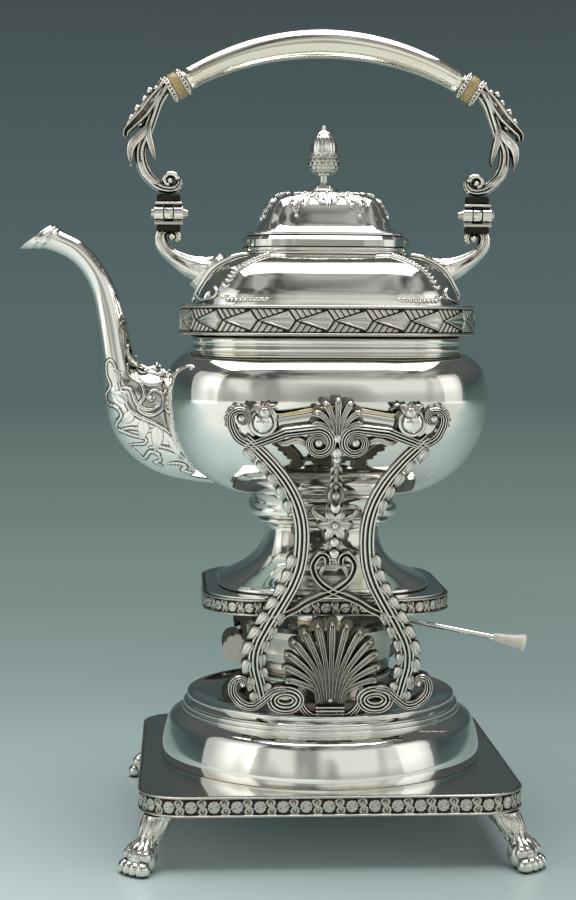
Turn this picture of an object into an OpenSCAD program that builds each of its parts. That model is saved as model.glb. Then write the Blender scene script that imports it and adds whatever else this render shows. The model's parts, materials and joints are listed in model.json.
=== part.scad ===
// Kettle on a four-footed stand, with a spirit burner below it.
// X runs to the right with the spout at -X, the front faces -Y, and the origin is on the table below the middle.

/* [Base] */
// Half the width of the square base plate
base_half = 84.5; // [82:0.5:90]
// Corner radius of the base plate
base_corner = 20; // [15:1:26]
// Height of the base plate above the table
base_rise = 23.7; // [21:0.1:28]
// Height of the ornamental edge of the base plate
edge_h = 9.3; // [8:0.1:12]
// Radius of the round dome where it meets the plate
dome_r = 75; // [73:0.5:77]
// Height of the dome with its mouldings
dome_h = 29.4; // [26:0.2:34]
// Radius of the flat disc on the dome
disc_r = 62.8; // [62:0.2:65]
// Thickness of the sheet that the shells are raised from
wall = 1.2; // [1:0.1:1.6]

/* [Feet] */
// Distance of a paw's middle from the stand's axis, along X and along Y
paw_reach = 83.5; // [82:0.5:86]
// Width of a paw
paw_w = 14; // [12:0.5:17]

/* [Brackets] */
// Distance of a bracket's inner face from the stand's axis, at the disc
bracket_y = 52.2; // [51.8:0.1:53.5]
// Outward lean of a bracket, in degrees
bracket_lean = 12.9; // [12.7:0.1:14]
// Thickness of a bracket's pierced web
web_t = 3.4; // [3:0.1:4.5]
// Height of the ribs on the front of the web
rib_h = 1.2; // [0.8:0.1:1.6]
// Width of a bracket's legs
leg_w = 6; // [5:0.1:6.6]
// Height of the pins above the disc
pin_rise = 130.9; // [128:0.1:138]
// Half the distance between a bracket's two pins
pin_x = 31.5; // [30:0.1:34]

/* [Pins] */
// Radius of a pin
pin_r = 2.4; // [2:0.1:2.8]
// Radius of a pin's domed head
pin_head_r = 4.2; // [3.8:0.1:4.8]
// Radial clearance of a pin in its bore
pin_fit = 0.06; // [0.03:0.01:0.1]

/* [Kettle] */
// Half the width of the bowl at its widest
bowl_half = 74; // [72:0.2:76]
// Half the straight part of the bowl's side in plan
bowl_core = 26; // [22:0.5:28]
// Depth of the bowl below the pins
bowl_drop = 35.7; // [33:0.1:40]
// Height of the bowl above the pins
bowl_rise = 36; // [33:0.1:40]
// Half the width of the bowl's floor
floor_half = 36; // [34:0.2:40]
// Half the width of the wall behind the leaf border
waist_half = 61; // [59:0.2:63]
// Height of the shoulder from the bowl's rim to the neck
shoulder_h = 36; // [33:0.1:40]
// Half the width of the neck ring
neck_half = 37.6; // [36:0.2:40]
// Height of the neck ring
neck_h = 3.4; // [3:0.1:6]
// Height of the leaf border
leaf_h = 13.4; // [12:0.2:16]
// How far the leaf border stands out from the wall behind it
leaf_t = 6; // [5:0.2:7]

/* [Pedestal] */
// Height of the kettle's pedestal
pedestal_h = 43.7; // [40:0.1:44]
// Half the width of the pedestal at its narrowest
stem_half = 25.5; // [24:0.1:28]
// Half the width of the pedestal's flared foot
flare_half = 49; // [46:0.2:51]
// Half the width of the square plinth
plinth_half = 56; // [54:0.2:57]
// Height of the plinth
plinth_h = 8; // [6.5:0.1:8.4]

/* [Spout] */
// Thickness of the spout's wall
spout_wall = 1.6; // [1.2:0.1:2]
// Distance of the spout's tip from the kettle's axis
spout_reach = 140; // [134:0.5:146]
// Height of the spout's mouth above the pins
spout_rise = 86; // [80:0.5:92]
// Half the depth of the spout at its root, from front to back
spout_root = 18; // [16:0.2:19]
// Radius of a strainer hole
strainer_r = 1.6; // [1.2:0.1:2]

/* [Lid] */
// How far the lid's rim stands out past the neck
lid_lip = 0.6; // [0.2:0.1:1.4]
// Half the straight part of the lid's side in plan
lid_core = 15; // [12:0.5:18]
// Height of the lid without its finial
lid_h = 25.1; // [22:0.1:28]
// Gap between the lid and the neck ring
lid_gap = 0.3; // [0.2:0.05:0.5]
// Radius of the finial's acorn cup
cup_r = 7.8; // [7:0.1:9]
// Length of the finial above the lid
finial_h = 31.6; // [28:0.2:35]

/* [Handle] */
// Half the distance between the two handle hinges
hinge_x = 71.6; // [70:0.1:74]
// Height of the handle hinges above the neck
hinge_rise = 19.4; // [18:0.1:22]
// Length of a handle hinge
hinge_l = 13; // [11:0.2:15]
// Radius of a hinge knuckle
knuckle_r = 3.75; // [3.2:0.05:4]
// Radius of a hinge pin
hinge_pin_r = 1.5; // [1.2:0.1:1.8]
// Height of the grip's middle above the hinges
grip_rise = 78.2; // [75:0.2:88]
// Radius of the grip's arch
grip_arch = 124.5; // [114:0.5:132]
// Radius of the grip at its middle
grip_r = 6.9; // [6:0.1:7.5]
// Radius of the ivory rings
ivory_r = 6.4; // [5.8:0.1:7]

/* [Burner] */
// Greatest radius of the burner's font
font_r = 35; // [32:0.5:36]
// Height of the burner's font
font_h = 33; // [30:0.2:34]
// Radius of the wick tube
wick_r = 9; // [7:0.2:11]
// Length of the lever's rod from the burner's axis
lever_l = 81; // [74:0.5:88]
// Radius of the lever's rod
lever_r = 1.15; // [1:0.05:1.5]

/* [Hidden] */
$fn = 48;

// Gap between pieces of different bodies that don't fit together
gap = 0.3;

// Heights above the table
plate_top = base_rise + edge_h;
disc_top = plate_top + dome_h;
pin_z = disc_top + pin_rise;
bowl_bottom = pin_z - bowl_drop;
bowl_top = pin_z + bowl_rise;
neck_z = bowl_top + shoulder_h;
lid_z = neck_z + neck_h + lid_gap;
lid_half = neck_half + lid_lip;
hinge_z = neck_z + hinge_rise;
grip_z = hinge_z + grip_rise;
plinth_top = bowl_bottom - pedestal_h;

// A bracket's pins, measured up its sloping face
bracket_pin_v = pin_rise / cos(bracket_lean);
bracket_t = web_t + rib_h;

// Thin parts of the border strips
strip_t = 1.8;
deck_t = 2;

// Colours
silver = [0.8, 0.8, 0.79];
dark_silver = [0.5, 0.49, 0.47];
ivory = [0.9, 0.84, 0.68];
gilt = [0.78, 0.64, 0.42];

// Curves

function mix(a, b, t) = a + (b - a) * t;

// Point at share t of span i of the smooth curve through p
function on_curve(p, i, t) =
  let (a = p[max(i - 1, 0)], b = p[i], c = p[i + 1], d = p[min(i + 2, len(p) - 1)])
  0.5 * (2 * b + (c - a) * t + (2 * a - 5 * b + 4 * c - d) * t * t + (3 * b - a - 3 * c + d) * t * t * t);

// Points of the smooth curve through p, n to a span
function smooth(p, n) =
  concat([for (i = [0 : len(p) - 2], k = [0 : n - 1]) on_curve(p, i, k / n)], [p[len(p) - 1]]);

// Direction of the line p at its point i
function heading(p, i) =
  let (d = p[min(i + 1, len(p) - 1)] - p[max(i - 1, 0)])
  d / norm(d);

// The line p moved sideways by d, to its left
function aside(p, d) = [for (i = [0 : len(p) - 1]) let (h = heading(p, i)) p[i] + d * [-h[1], h[0]]];

function backwards(p) = [for (i = [len(p) - 1 : -1 : 0]) p[i]];

// Points of a spiral about c, from radius r0 at angle a0 to radius r1 after turning by turn
function spiral(c, r0, r1, a0, turn, n) =
  [for (k = [0 : n]) let (a = a0 + turn * k / n) c + mix(r0, r1, k / n) * [cos(a), sin(a)]];

// Flat ribbon along p, w0 wide at its start and w1 at its end, wider by swell between, moved sideways by d
module ribbon(p, w0, w1, d = 0, swell = 0) {
  last = len(p) - 1;
  half = [for (i = [0 : last]) (mix(w0, w1, i / last) + swell * sin(180 * i / last)) / 2];
  left = [for (i = [0 : last]) aside(p, d + half[i])[i]];
  right = [for (i = [0 : last]) aside(p, d - half[i])[i]];
  polygon(concat(left, backwards(right)));
}

// Plans and shells

// Square with round corners
module round_square(half, r) {
  square([2 * half, 2 * (half - r)], center = true);
  square([2 * (half - r), 2 * half], center = true);
  for (x = [-1, 1], y = [-1, 1]) translate([x * (half - r), y * (half - r)]) circle(r);
}

// Frame between two squares that share the middles of their corners
module square_frame(half, r, t, h) {
  linear_extrude(h) difference() {
    round_square(half, r);
    round_square(half - t, r - t);
  }
}

// Solid whose side is the line p of [half width, height] and whose plan is a square with round corners
module cushion(core, p) {
  low = p[0][1];
  high = p[len(p) - 1][1];
  section = concat([[0, low]], [for (q = p) [q[0] - core, q[1]]], [[0, high]]);
  for (a = [0 : 90 : 270]) rotate(a) {
    translate([core, core, 0]) rotate_extrude(angle = 90) polygon(section);
    translate([core, core, 0]) rotate([90, 0, 0]) linear_extrude(2 * core) polygon(section);
  }
  translate([-core, -core, low]) cube([2 * core, 2 * core, high - low]);
}

// Ring with the closed section p of [half width, height], along a square with round corners
module cushion_ring(core, p) {
  section = [for (q = p) [q[0] - core, q[1]]];
  for (a = [0 : 90 : 270]) rotate(a) {
    translate([core, core, 0]) rotate_extrude(angle = 90) polygon(section);
    translate([core, core, 0]) rotate([90, 0, 0]) linear_extrude(2 * core) polygon(section);
  }
}

// Rings of points joined into a closed solid
module loft(rings) {
  n = len(rings[0]);
  last = len(rings) - 1;
  sides = [for (j = [0 : last - 1], i = [0 : n - 1])
    [j * n + i, j * n + (i + 1) % n, (j + 1) * n + (i + 1) % n, (j + 1) * n + i]];
  ends = [[for (i = [n - 1 : -1 : 0]) i], [for (i = [0 : n - 1]) last * n + i]];
  polyhedron([for (r = rings, q = r) q], concat(sides, ends));
}

// Ring of points across a path in the XZ plane: middle c, direction h, half height a, half depth b
function path_ring(c, h, a, b, n) =
  [for (i = [0 : n - 1]) let (t = 360 * i / n) [c[0] - h[1] * a * cos(t), b * sin(t), c[1] + h[0] * a * cos(t)]];

// Round bar along the path p in the XZ plane, whose points are [x, z, radius]
module path_bar(p, n) {
  loft([for (i = [0 : len(p) - 1])
    let (d = p[min(i + 1, len(p) - 1)] - p[max(i - 1, 0)], h = [d[0], d[1]] / norm([d[0], d[1]]))
    path_ring([p[i][0], p[i][1]], h, p[i][2], p[i][2], n)]);
}

// Base

module base_plate() {
  color(silver) {
    translate([0, 0, plate_top - deck_t])
      linear_extrude(deck_t) round_square(base_half - strip_t, base_corner - strip_t);
    translate([0, 0, base_rise])
      square_frame(base_half - strip_t, base_corner - strip_t, wall, edge_h - deck_t);
  }
}

// Strip with a ridge along its top and bottom
module edge_strip(half, r, h) {
  core = half - r;
  field = half - 0.9;
  cushion_ring(core, [
    [half - strip_t, 0], [half - 0.3, 0], [half, 0.5], [half - 0.3, 1.2], [field, 1.5],
    [field, h - 1.5], [half - 0.3, h - 1.2], [half, h - 0.5], [half - 0.3, h], [half - strip_t, h]
  ]);
}

module base_border() {
  color(dark_silver) translate([0, 0, base_rise]) edge_strip(base_half, base_corner, edge_h);
}

module base_dome() {
  step = disc_r + 0.2 * (dome_r - disc_r);
  outer = concat(
    [[dome_r - 0.6, 0]],
    smooth([[dome_r, 0.12 * dome_h], [mix(step, dome_r, 0.92), 0.28 * dome_h],
      [mix(step, dome_r, 0.74), 0.49 * dome_h], [mix(step, dome_r, 0.52), 0.64 * dome_h],
      [step, 0.73 * dome_h]], 3),
    [[step, 0.79 * dome_h], [disc_r + 1.6, 0.8 * dome_h], [disc_r + 1.6, 0.86 * dome_h],
      [disc_r - 0.4, 0.87 * dome_h], [disc_r - 0.4, 0.93 * dome_h], [disc_r, 0.94 * dome_h],
      [disc_r, dome_h - 0.4], [disc_r - 0.6, dome_h]]);
  cavity = disc_r - 4;
  color(silver) translate([0, 0, plate_top]) difference() {
    rotate_extrude() polygon(concat([[0, 0]], outer, [[0, dome_h]]));
    rotate_extrude() polygon([[0, -1], [dome_r - 3, -1], [dome_r - 3, 0.1 * dome_h], [cavity, 0.7 * dome_h],
      [cavity, dome_h - deck_t], [0, dome_h - deck_t]]);
    bolt_places() translate([0, 0, dome_h - deck_t - 1]) cylinder(r = bolt_r + pin_fit, h = deck_t + 2);
  }
}

// Feet

// Bar along +X and +Z from the point a to b, with radius r at its start and q inside the ball at its end
module limb(a, b, r, q) {
  d = b - a;
  translate([a[0], 0, a[1]]) rotate([0, atan2(d[0], d[1]), 0]) cylinder(r1 = r, r2 = q, h = norm(d));
  translate([b[0], 0, b[1]]) sphere(1.06 * q);
}

// Paw that reaches outward along +X, with its middle at the given distance from the stand's axis
module paw(x) {
  toe = paw_w / 4;
  heel = [x - 2, 0.44 * paw_w];
  ankle = [x - 0.4 * paw_w, 0.62 * base_rise];
  knee = [x - 0.9 * paw_w, base_rise];
  color(silver) intersection() {
    union() {
      translate([heel[0], 0, heel[1]]) sphere(0.48 * paw_w);
      for (k = [-1.5 : 1 : 1.5]) {
        translate([x + 0.3 * paw_w - 0.8 * abs(k), k * toe * 0.98, toe * 0.85]) sphere(toe * 0.98);
        translate([x + 0.12 * paw_w - 0.6 * abs(k), k * toe * 0.92, toe * 2.3]) sphere(toe * 0.84);
      }
      limb(heel, ankle, 0.36 * paw_w, 0.27 * paw_w);
      limb(ankle, knee, 0.27 * paw_w, 0.47 * paw_w);
    }
    translate([x - 60, -40, 0]) cube([120, 80, base_rise]);
  }
}

module paw_front_left() { rotate(225) paw(paw_reach * sqrt(2)); }
module paw_front_right() { rotate(315) paw(paw_reach * sqrt(2)); }
module paw_back_left() { rotate(135) paw(paw_reach * sqrt(2)); }
module paw_back_right() { rotate(45) paw(paw_reach * sqrt(2)); }

// Brackets, drawn flat with x across and y up the sloping face

// Point at shares of the half pin distance and of the pins' height up the face
function at(x, v) = [x * pin_x, v * bracket_pin_v];

// The same, in units of the half pin distance both ways, about the point c
function near(c, x, y) = c + pin_x * [x, y];

outer_eye = at(1.285, 1.022);
inner_eye = at(0.248, 0.943);
foot_eye = at(0.628, 0.062);

rail_line = concat(
  spiral(outer_eye, 0.035 * pin_x, 0.15 * pin_x, 310, -310, 14),
  smooth([near(outer_eye, 0.14, -0.1), near(outer_eye, 0.05, -0.27), near(outer_eye, -0.13, -0.36),
    near(inner_eye, 0.72, 0.03), near(inner_eye, 0.45, 0.14)], 2),
  spiral(inner_eye, 0.18 * pin_x, 0.06 * pin_x, 70, 480, 20));

leg_line = smooth([at(1.24, 0.957), at(0.93, 0.885), at(0.67, 0.806), at(0.511, 0.727),
  at(0.446, 0.646), at(0.467, 0.547), at(0.556, 0.474), at(0.69, 0.41), at(0.88, 0.329),
  at(1.03, 0.253), at(1.06, 0.188), at(1, 0.119), at(0.94, 0.06)], 2);

heart_line = smooth([at(-0.09, 0.535), at(-0.1, 0.56), at(-0.19, 0.569), at(-0.29, 0.532), at(-0.22, 0.484),
  at(-0.05, 0.449), at(0.15, 0.428), at(0.36, 0.405), at(0.52, 0.38), at(0.84, 0.345)], 2);

foot_line = smooth([near(foot_eye, 0, 0.17), near(foot_eye, 0.16, 0.14), near(foot_eye, 0.3, 0.02),
  near(foot_eye, 0.46, -0.09), near(foot_eye, 0.63, -0.03), near(foot_eye, 0.74, 0.12),
  near(foot_eye, 0.72, 0.29), near(foot_eye, 0.6, 0.33), near(foot_eye, 0.56, 0.23)], 3);

// Line of petal k of a fan with its root at c: a curve that leans out by spread degrees a petal
function petal_line(c, k, spread, length) =
  let (a = 90 - spread * k, curl = 90 - spread * 1.7 * k)
  smooth([c + [0.9 * k, 0], c + 0.5 * length * [cos(mix(90, a, 0.8)), sin(mix(90, a, 0.8))],
    c + length * [cos(a), sin(a)], c + length * [cos(a), sin(a)] + 2.4 * [cos(curl), sin(curl)]], 2);

module petal(c, k, spread, length, w) {
  line = petal_line(c, k, spread, length);
  ribbon(line, 0.6 * w, w);
  translate(line[len(line) - 1]) circle(0.55 * w);
}

// Fan of petals, the middle one the longest
module fan(c, count, spread, length, fall, w) {
  half = (count - 1) / 2;
  for (k = [-half : half]) petal(c, k, spread, length - fall * abs(k) * abs(k), w);
}

// Closes the hairline gaps between neighbouring pieces of a drawing
module sealed() {
  offset(delta = -0.15) offset(delta = 0.15) children();
}

// Both sides of a drawing that shows the right-hand one
module both_sides() {
  children();
  mirror([1, 0]) children();
}

module bracket_web() {
  both_sides() {
    ribbon(rail_line, 0.06 * pin_x, 0.06 * pin_x, 0, 0.07 * pin_x);
    ribbon(leg_line, 0.6 * leg_w, 0.9 * leg_w, 0, 0.25 * leg_w);
    ribbon(heart_line, 0.07 * pin_x, 0.09 * pin_x);
    ribbon(foot_line, 0.09 * pin_x, 0.08 * pin_x, 0, 0.02 * pin_x);
    translate(outer_eye) circle(0.05 * pin_x);
    translate(inner_eye) circle(0.07 * pin_x);
    translate(near(foot_eye, 0.6, 0.25)) circle(0.05 * pin_x);
    difference() {
      translate(foot_eye) circle(0.22 * pin_x);
      translate(foot_eye) circle(0.1 * pin_x);
    }
    // Leaves along the outside of the leg and of the outer scroll
    for (i = [2 : 2 : 22]) translate(aside(leg_line, leg_w * 0.46)[i]) circle(0.06 * pin_x);
    for (a = [-60 : 30 : 60]) translate(near(outer_eye, 0.17 * cos(a), 0.17 * sin(a))) circle(0.04 * pin_x);
    // Leaf that springs from the inner scroll
    ribbon([near(inner_eye, 0.14, -0.02), near(inner_eye, 0.3, 0.02), near(inner_eye, 0.5, -0.05)],
      0.12 * pin_x, 0.03 * pin_x);
  }
  translate(at(0, 0.963)) circle(0.11 * pin_x);
  fan(at(0, 0.96), 7, 17, 0.44 * pin_x, 0.5, 0.1 * pin_x);
  translate(at(0, 0.91)) circle(0.1 * pin_x);
  for (v = [0.885, 0.86, 0.835, 0.81]) translate(at(0, v)) circle(0.07 * pin_x);
  // Flower between the legs
  translate(at(0, 0.668)) circle(0.1 * pin_x);
  for (a = [0 : 60 : 300]) translate(near(at(0, 0.668), 0.15 * cos(a), 0.15 * sin(a))) circle(0.1 * pin_x);
  translate(at(0, 0.765)) circle(0.13 * pin_x);
  translate(at(0, 0.725)) circle(0.1 * pin_x);
  translate(at(0, 0.7)) square([0.74 * pin_x, 0.09 * pin_x], center = true);
  translate(at(0, 0.61)) circle(0.1 * pin_x);
  translate(at(0, 0.57)) circle(0.09 * pin_x);
  // Honeysuckle flower at the foot
  fan(at(0, 0.045), 11, 9.5, 1.14 * pin_x, 0.62, 0.15 * pin_x);
  translate(at(0, 0.02)) square([1.0 * pin_x, 0.2 * pin_x], center = true);
}

module bracket_ribs() {
  both_sides() {
    ribbon(rail_line, 0.025 * pin_x, 0.03 * pin_x, 0, 0.015 * pin_x);
    for (d = [-0.36, 0, 0.36]) ribbon(leg_line, 0.16 * leg_w, 0.18 * leg_w, d * leg_w);
    ribbon(foot_line, 0.03 * pin_x, 0.03 * pin_x);
  }
}

// Puts a flat drawing on the sloping face of the front bracket
module on_slope() {
  translate([0, -bracket_y, disc_top]) rotate([90 + bracket_lean, 0, 0]) children();
}

// The straight part of the boss round a pin's bore, from the hanger's gap to the outside of the bracket
hanger_eye_r = 0.217 * pin_x;
hanger_t = 2.4;
bolt_r = 1.5;
pin_face_y = bracket_y + pin_rise * tan(bracket_lean) + bracket_t / cos(bracket_lean);
hanger_y = bracket_y + (pin_rise - 1.25 * hanger_eye_r) * tan(bracket_lean) - gap;

module bolt_places() {
  for (x = [-1, 1], y = [-1, 1]) translate([x * foot_eye[0] * 0.52, y * (bracket_y + 0.5 * web_t), 0]) children();
}

module bracket() {
  color(silver) difference() {
    union() {
      on_slope() linear_extrude(web_t) sealed() bracket_web($fn = 18);
      on_slope() translate([0, 0, web_t]) linear_extrude(rib_h) sealed() intersection() {
        bracket_web($fn = 18);
        bracket_ribs();
      }
      for (x = [-1, 1]) translate([x * pin_x, -hanger_y - gap, pin_z]) rotate([90, 0, 0])
        cylinder(r = 0.19 * pin_x, h = pin_face_y - hanger_y - gap);
    }
    for (x = [-1, 1]) translate([x * pin_x, 0, pin_z]) rotate([90, 0, 0])
      cylinder(r = pin_r + pin_fit, h = 2 * pin_face_y);
    translate([-100, -150, disc_top - 50]) cube([200, 150, 50]);
    bolt_places() translate([0, 0, disc_top - 1]) cylinder(r = bolt_r + pin_fit, h = 4);
  }
}

module bracket_front() { bracket(); }
module bracket_back() { mirror([0, 1, 0]) bracket(); }

// Bolts that hold the brackets to the disc from below
module bracket_bolts() {
  color(dark_silver) bolt_places() {
    translate([0, 0, disc_top - deck_t - 2.2]) cylinder(r = 3, h = 2.2, $fn = 6);
    translate([0, 0, disc_top - deck_t - 2.2]) cylinder(r = bolt_r, h = deck_t + 4.4);
  }
}

// Pins

// Pin that points to -Y, with its domed head outside the bracket
module pin() {
  start = hanger_y - hanger_t - 1;
  color(silver) rotate([90, 0, 0]) rotate_extrude() polygon(concat(
    [[0, start], [pin_r - 0.5, start], [pin_r, start + 0.5], [pin_r, pin_face_y + gap],
      [pin_head_r, pin_face_y + gap], [pin_head_r, pin_face_y + gap + 0.8]],
    [for (a = [15 : 15 : 75]) [pin_head_r * cos(a), pin_face_y + gap + 0.8 + 0.5 * pin_head_r * sin(a)]],
    [[0, pin_face_y + gap + 0.8 + 0.5 * pin_head_r]]));
}

module pin_front_left() { translate([-pin_x, 0, pin_z]) pin(); }
module pin_front_right() { translate([pin_x, 0, pin_z]) pin(); }
module pin_back_left() { mirror([0, 1, 0]) pin_front_left(); }
module pin_back_right() { mirror([0, 1, 0]) pin_front_right(); }

// Kettle body

// Line up the bowl's side, and the plain moulding above it
bowl_line = concat(
  smooth([for (q = [[0, -1], [0.315, -0.905], [0.67, -0.653], [0.914, -0.26], [0.99, 0.06], [1, 0.28]])
    [mix(floor_half, bowl_half, q[0]), pin_z + (q[1] < 0 ? bowl_drop : bowl_rise) * q[1]]], 3),
  [for (q = [[0.93, 0.475], [0.78, 0.605], [0.46, 0.725], [0.14, 0.795], [0.1, 0.8], [0.1, 0.86], [0.04, 0.87],
    [0.1, 0.89], [0.1, 0.98], [0, 1]])
    [mix(waist_half - 1, bowl_half, q[0]), pin_z + bowl_rise * q[1]]]);

// Line up the shoulder's side, from the bowl's rim to the neck
shoulder_line = concat(
  [[waist_half, bowl_top]],
  smooth([for (q = [[1, 0.375], [0.95, 0.45], [0.885, 0.572], [0.69, 0.8], [0.385, 0.94], [0, 1]])
    [mix(neck_half, waist_half, q[0]), bowl_top + shoulder_h * q[1]]], 2));

// A line moved inwards by t, with its ends kept level or carried past the rim
function inside(p, t, base, top) =
  let (q = aside(p, t))
  concat([[q[0][0], base]], [for (i = [1 : len(q) - 2]) q[i]], [[q[len(q) - 1][0], top]]);

module bowl_form() { cushion(bowl_core, bowl_line); }
module shoulder_form() { cushion(bowl_core, shoulder_line); }

// Height of the middle of the strainer behind the spout
strainer_z = pin_z - 8;

module kettle_bowl() {
  color(silver) difference() {
    bowl_form();
    cushion(bowl_core, inside(bowl_line, wall, bowl_bottom + wall, bowl_top + 1));
    for (y = [-1, 0, 1], z = [-1, 0, 1])
      translate([-bowl_half - 10, y * 4 * strainer_r, strainer_z + z * 4 * strainer_r])
        rotate([0, 90, 0]) cylinder(r = strainer_r, h = 30);
  }
}

module leaf_border() {
  out = waist_half + leaf_t;
  field = out - 1.4;
  color(dark_silver) translate([0, 0, bowl_top]) cushion_ring(bowl_core, [
    [waist_half, 0], [out - 0.4, 0], [out, 0.8], [out - 0.4, 1.6], [field, 2], [field, leaf_h - 2],
    [out - 0.4, leaf_h - 1.6], [out, leaf_h - 0.8], [out - 0.4, leaf_h], [waist_half, leaf_h]
  ]);
}

// Half width of the way in through the neck, and height of the neck's upper step
mouth_half = neck_half - 4;
neck_seat = 0.57 * neck_h;

module kettle_shoulder() {
  color(silver) difference() {
    shoulder_form();
    cushion(bowl_core, inside(shoulder_line, wall + 1, bowl_top - 1, neck_z - wall));
    translate([0, 0, neck_z - 10]) linear_extrude(20) round_square(mouth_half, mouth_half - lid_core);
  }
}

module neck_ring() {
  color(silver) translate([0, 0, neck_z]) cushion_ring(lid_core, [
    [mouth_half, 0], [neck_half - 0.6, 0], [neck_half, 0.17 * neck_h], [neck_half, 0.4 * neck_h],
    [neck_half - 0.6, 0.52 * neck_h], [neck_half - 1.2, neck_seat], [neck_half - 1.2, neck_h], [mouth_half, neck_h]
  ]);
}

// Pedestal, open below to the flame
pedestal_core = 14;

module pedestal() {
  line = concat(
    [[flare_half, plinth_top], [flare_half, plinth_top + 0.05 * pedestal_h]],
    smooth([for (q = [[0.95, 0.06], [0.84, 0.08], [0.53, 0.16], [0.24, 0.28], [0.07, 0.43], [0, 0.6], [0.03, 0.66]])
      [mix(stem_half, flare_half, q[0]), plinth_top + pedestal_h * q[1]]], 2),
    [[stem_half + 4.7, plinth_top + 0.69 * pedestal_h], [stem_half + 4.7, plinth_top + 0.73 * pedestal_h],
      [stem_half + 8.7, plinth_top + 0.75 * pedestal_h], [stem_half + 8.7, plinth_top + 0.87 * pedestal_h],
      [stem_half + 7, plinth_top + 0.89 * pedestal_h], [stem_half + 7, bowl_bottom]]);
  flue = stem_half - 2.5;
  color(silver) difference() {
    cushion(pedestal_core, line);
    cushion(pedestal_core, [[flare_half - 4, plinth_top - 1], [flare_half - 4, plinth_top + 0.02 * pedestal_h],
      [mix(flue, flare_half, 0.35), plinth_top + 0.13 * pedestal_h], [flue, plinth_top + 0.4 * pedestal_h],
      [flue, bowl_bottom + 1]]);
  }
}

module plinth() {
  half = plinth_half - strip_t;
  r = half - pedestal_core * 2;
  color(silver) {
    translate([0, 0, plinth_top - 1.5]) linear_extrude(1.5) difference() {
      round_square(half, r);
      round_square(flare_half - 4, flare_half - 4 - pedestal_core);
    }
    translate([0, 0, plinth_top - plinth_h]) square_frame(half, r, wall, plinth_h - 1.5);
  }
}

module plinth_border() {
  color(dark_silver) translate([0, 0, plinth_top - plinth_h])
    edge_strip(plinth_half, plinth_half - 2 * pedestal_core, plinth_h - 0.6);
}

// Hangers, which hook the kettle onto its pins

hanger_line = smooth([[-pin_x, 0], [-0.7 * pin_x, -0.01 * pin_x], [-0.3 * pin_x, 0.07 * pin_x], [0, 0.1 * pin_x],
  [0.3 * pin_x, 0.07 * pin_x], [0.7 * pin_x, -0.01 * pin_x], [pin_x, 0]], 3);

module hanger() {
  hole = pin_r + pin_fit;
  color(gilt) difference() {
    union() {
      translate([0, -hanger_y + hanger_t, pin_z]) rotate([90, 0, 0]) linear_extrude(hanger_t) {
        ribbon(hanger_line, 0.24 * pin_x, 0.24 * pin_x);
        for (x = [-pin_x, pin_x]) translate([x, 0]) circle(hanger_eye_r);
      }
      translate([-0.42 * pin_x, -hanger_y + hanger_t, pin_z - 0.06 * pin_x])
        cube([0.84 * pin_x, hanger_y - hanger_t - bowl_half + 6, 0.2 * pin_x]);
    }
    // Bore at the left, on which the kettle tilts, and an open hook at the right
    translate([-pin_x, 0, pin_z]) rotate([90, 0, 0]) cylinder(r = hole, h = hanger_y + 5);
    translate([pin_x, 0, pin_z]) rotate([90, 0, 0]) cylinder(r = hole, h = hanger_y + 5);
    translate([pin_x, 0, pin_z]) rotate([90, 0, 0]) linear_extrude(hanger_y + 5)
      polygon([[-hole, 0], [hole, 0], [hole + 0.2, -2 * hanger_eye_r], [-hole - 1.4, -2 * hanger_eye_r]]);
    bowl_form();
  }
}

module hanger_front() { hanger(); }
module hanger_back() { mirror([0, 1, 0]) hanger(); }

// Spout

// Each row: outer and inner edge of the section as shares of the reach past the bowl and of the rise above the pins,
// then half its depth as a share of the root's
spout_rows = [for (q = smooth([
  [1, 0.866, 0.773, 1, 0.37], [0.89, 0.872, 0.73, 0.982, 0.36], [0.795, 0.863, 0.685, 0.96, 0.31],
  [0.667, 0.821, 0.564, 0.91, 0.28], [0.568, 0.748, 0.448, 0.815, 0.29], [0.503, 0.645, 0.347, 0.685, 0.32],
  [0.464, 0.488, 0.267, 0.505, 0.39], [0.438, 0.32, 0.217, 0.333, 0.47], [0.418, 0.14, 0.159, 0.223, 0.59],
  [0.388, -0.029, 0.03, 0.236, 0.76], [0.315, -0.158, -0.076, 0.209, 0.9], [0.189, -0.263, -0.182, 0.157, 0.99],
  [0.008, -0.34, -0.318, 0.07, 1], [-0.205, -0.377, -0.439, -0.023, 0.97], [-0.36, -0.391, -0.515, -0.116, 0.89]
  ], 2)) [-mix(bowl_half, spout_reach, q[0]), spout_rise * q[1],
    -mix(bowl_half, spout_reach, q[2]), spout_rise * q[3], spout_root * q[4]]];

// Section of the spout, with t taken off its wall
function spout_ring(q, t, n) =
  let (o = [q[0], q[1]], i = [q[2], q[3]], c = (o + i) / 2, a = norm(o - i) / 2, u = (o - i) / (2 * a))
  [for (k = [0 : n - 1]) let (s = 360 * k / n)
    [c[0] + u[0] * (a - t) * cos(s), -(q[4] - t) * sin(s), pin_z + c[1] + u[1] * (a - t) * cos(s)]];

module spout() {
  sides = 20;
  color(silver) difference() {
    union() {
      loft([for (q = spout_rows) spout_ring(q, 0, sides)]);
      // Double ring behind the mouth
      for (t = [[0.25, 0.45], [0.62, 0.8]])
        loft([for (k = t) spout_ring(mix(spout_rows[1], spout_rows[3], k), -0.7, sides)]);
    }
    loft(concat(
      [[for (q = spout_ring(spout_rows[0], spout_wall * 0.6, sides)) q + [-3, 0, 1.6]]],
      [for (q = spout_rows) spout_ring(q, spout_wall, sides)]));
    bowl_form();
  }
}

// Lid

// Half the width of the lid's flat top
lid_top = lid_core + 2;

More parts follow.
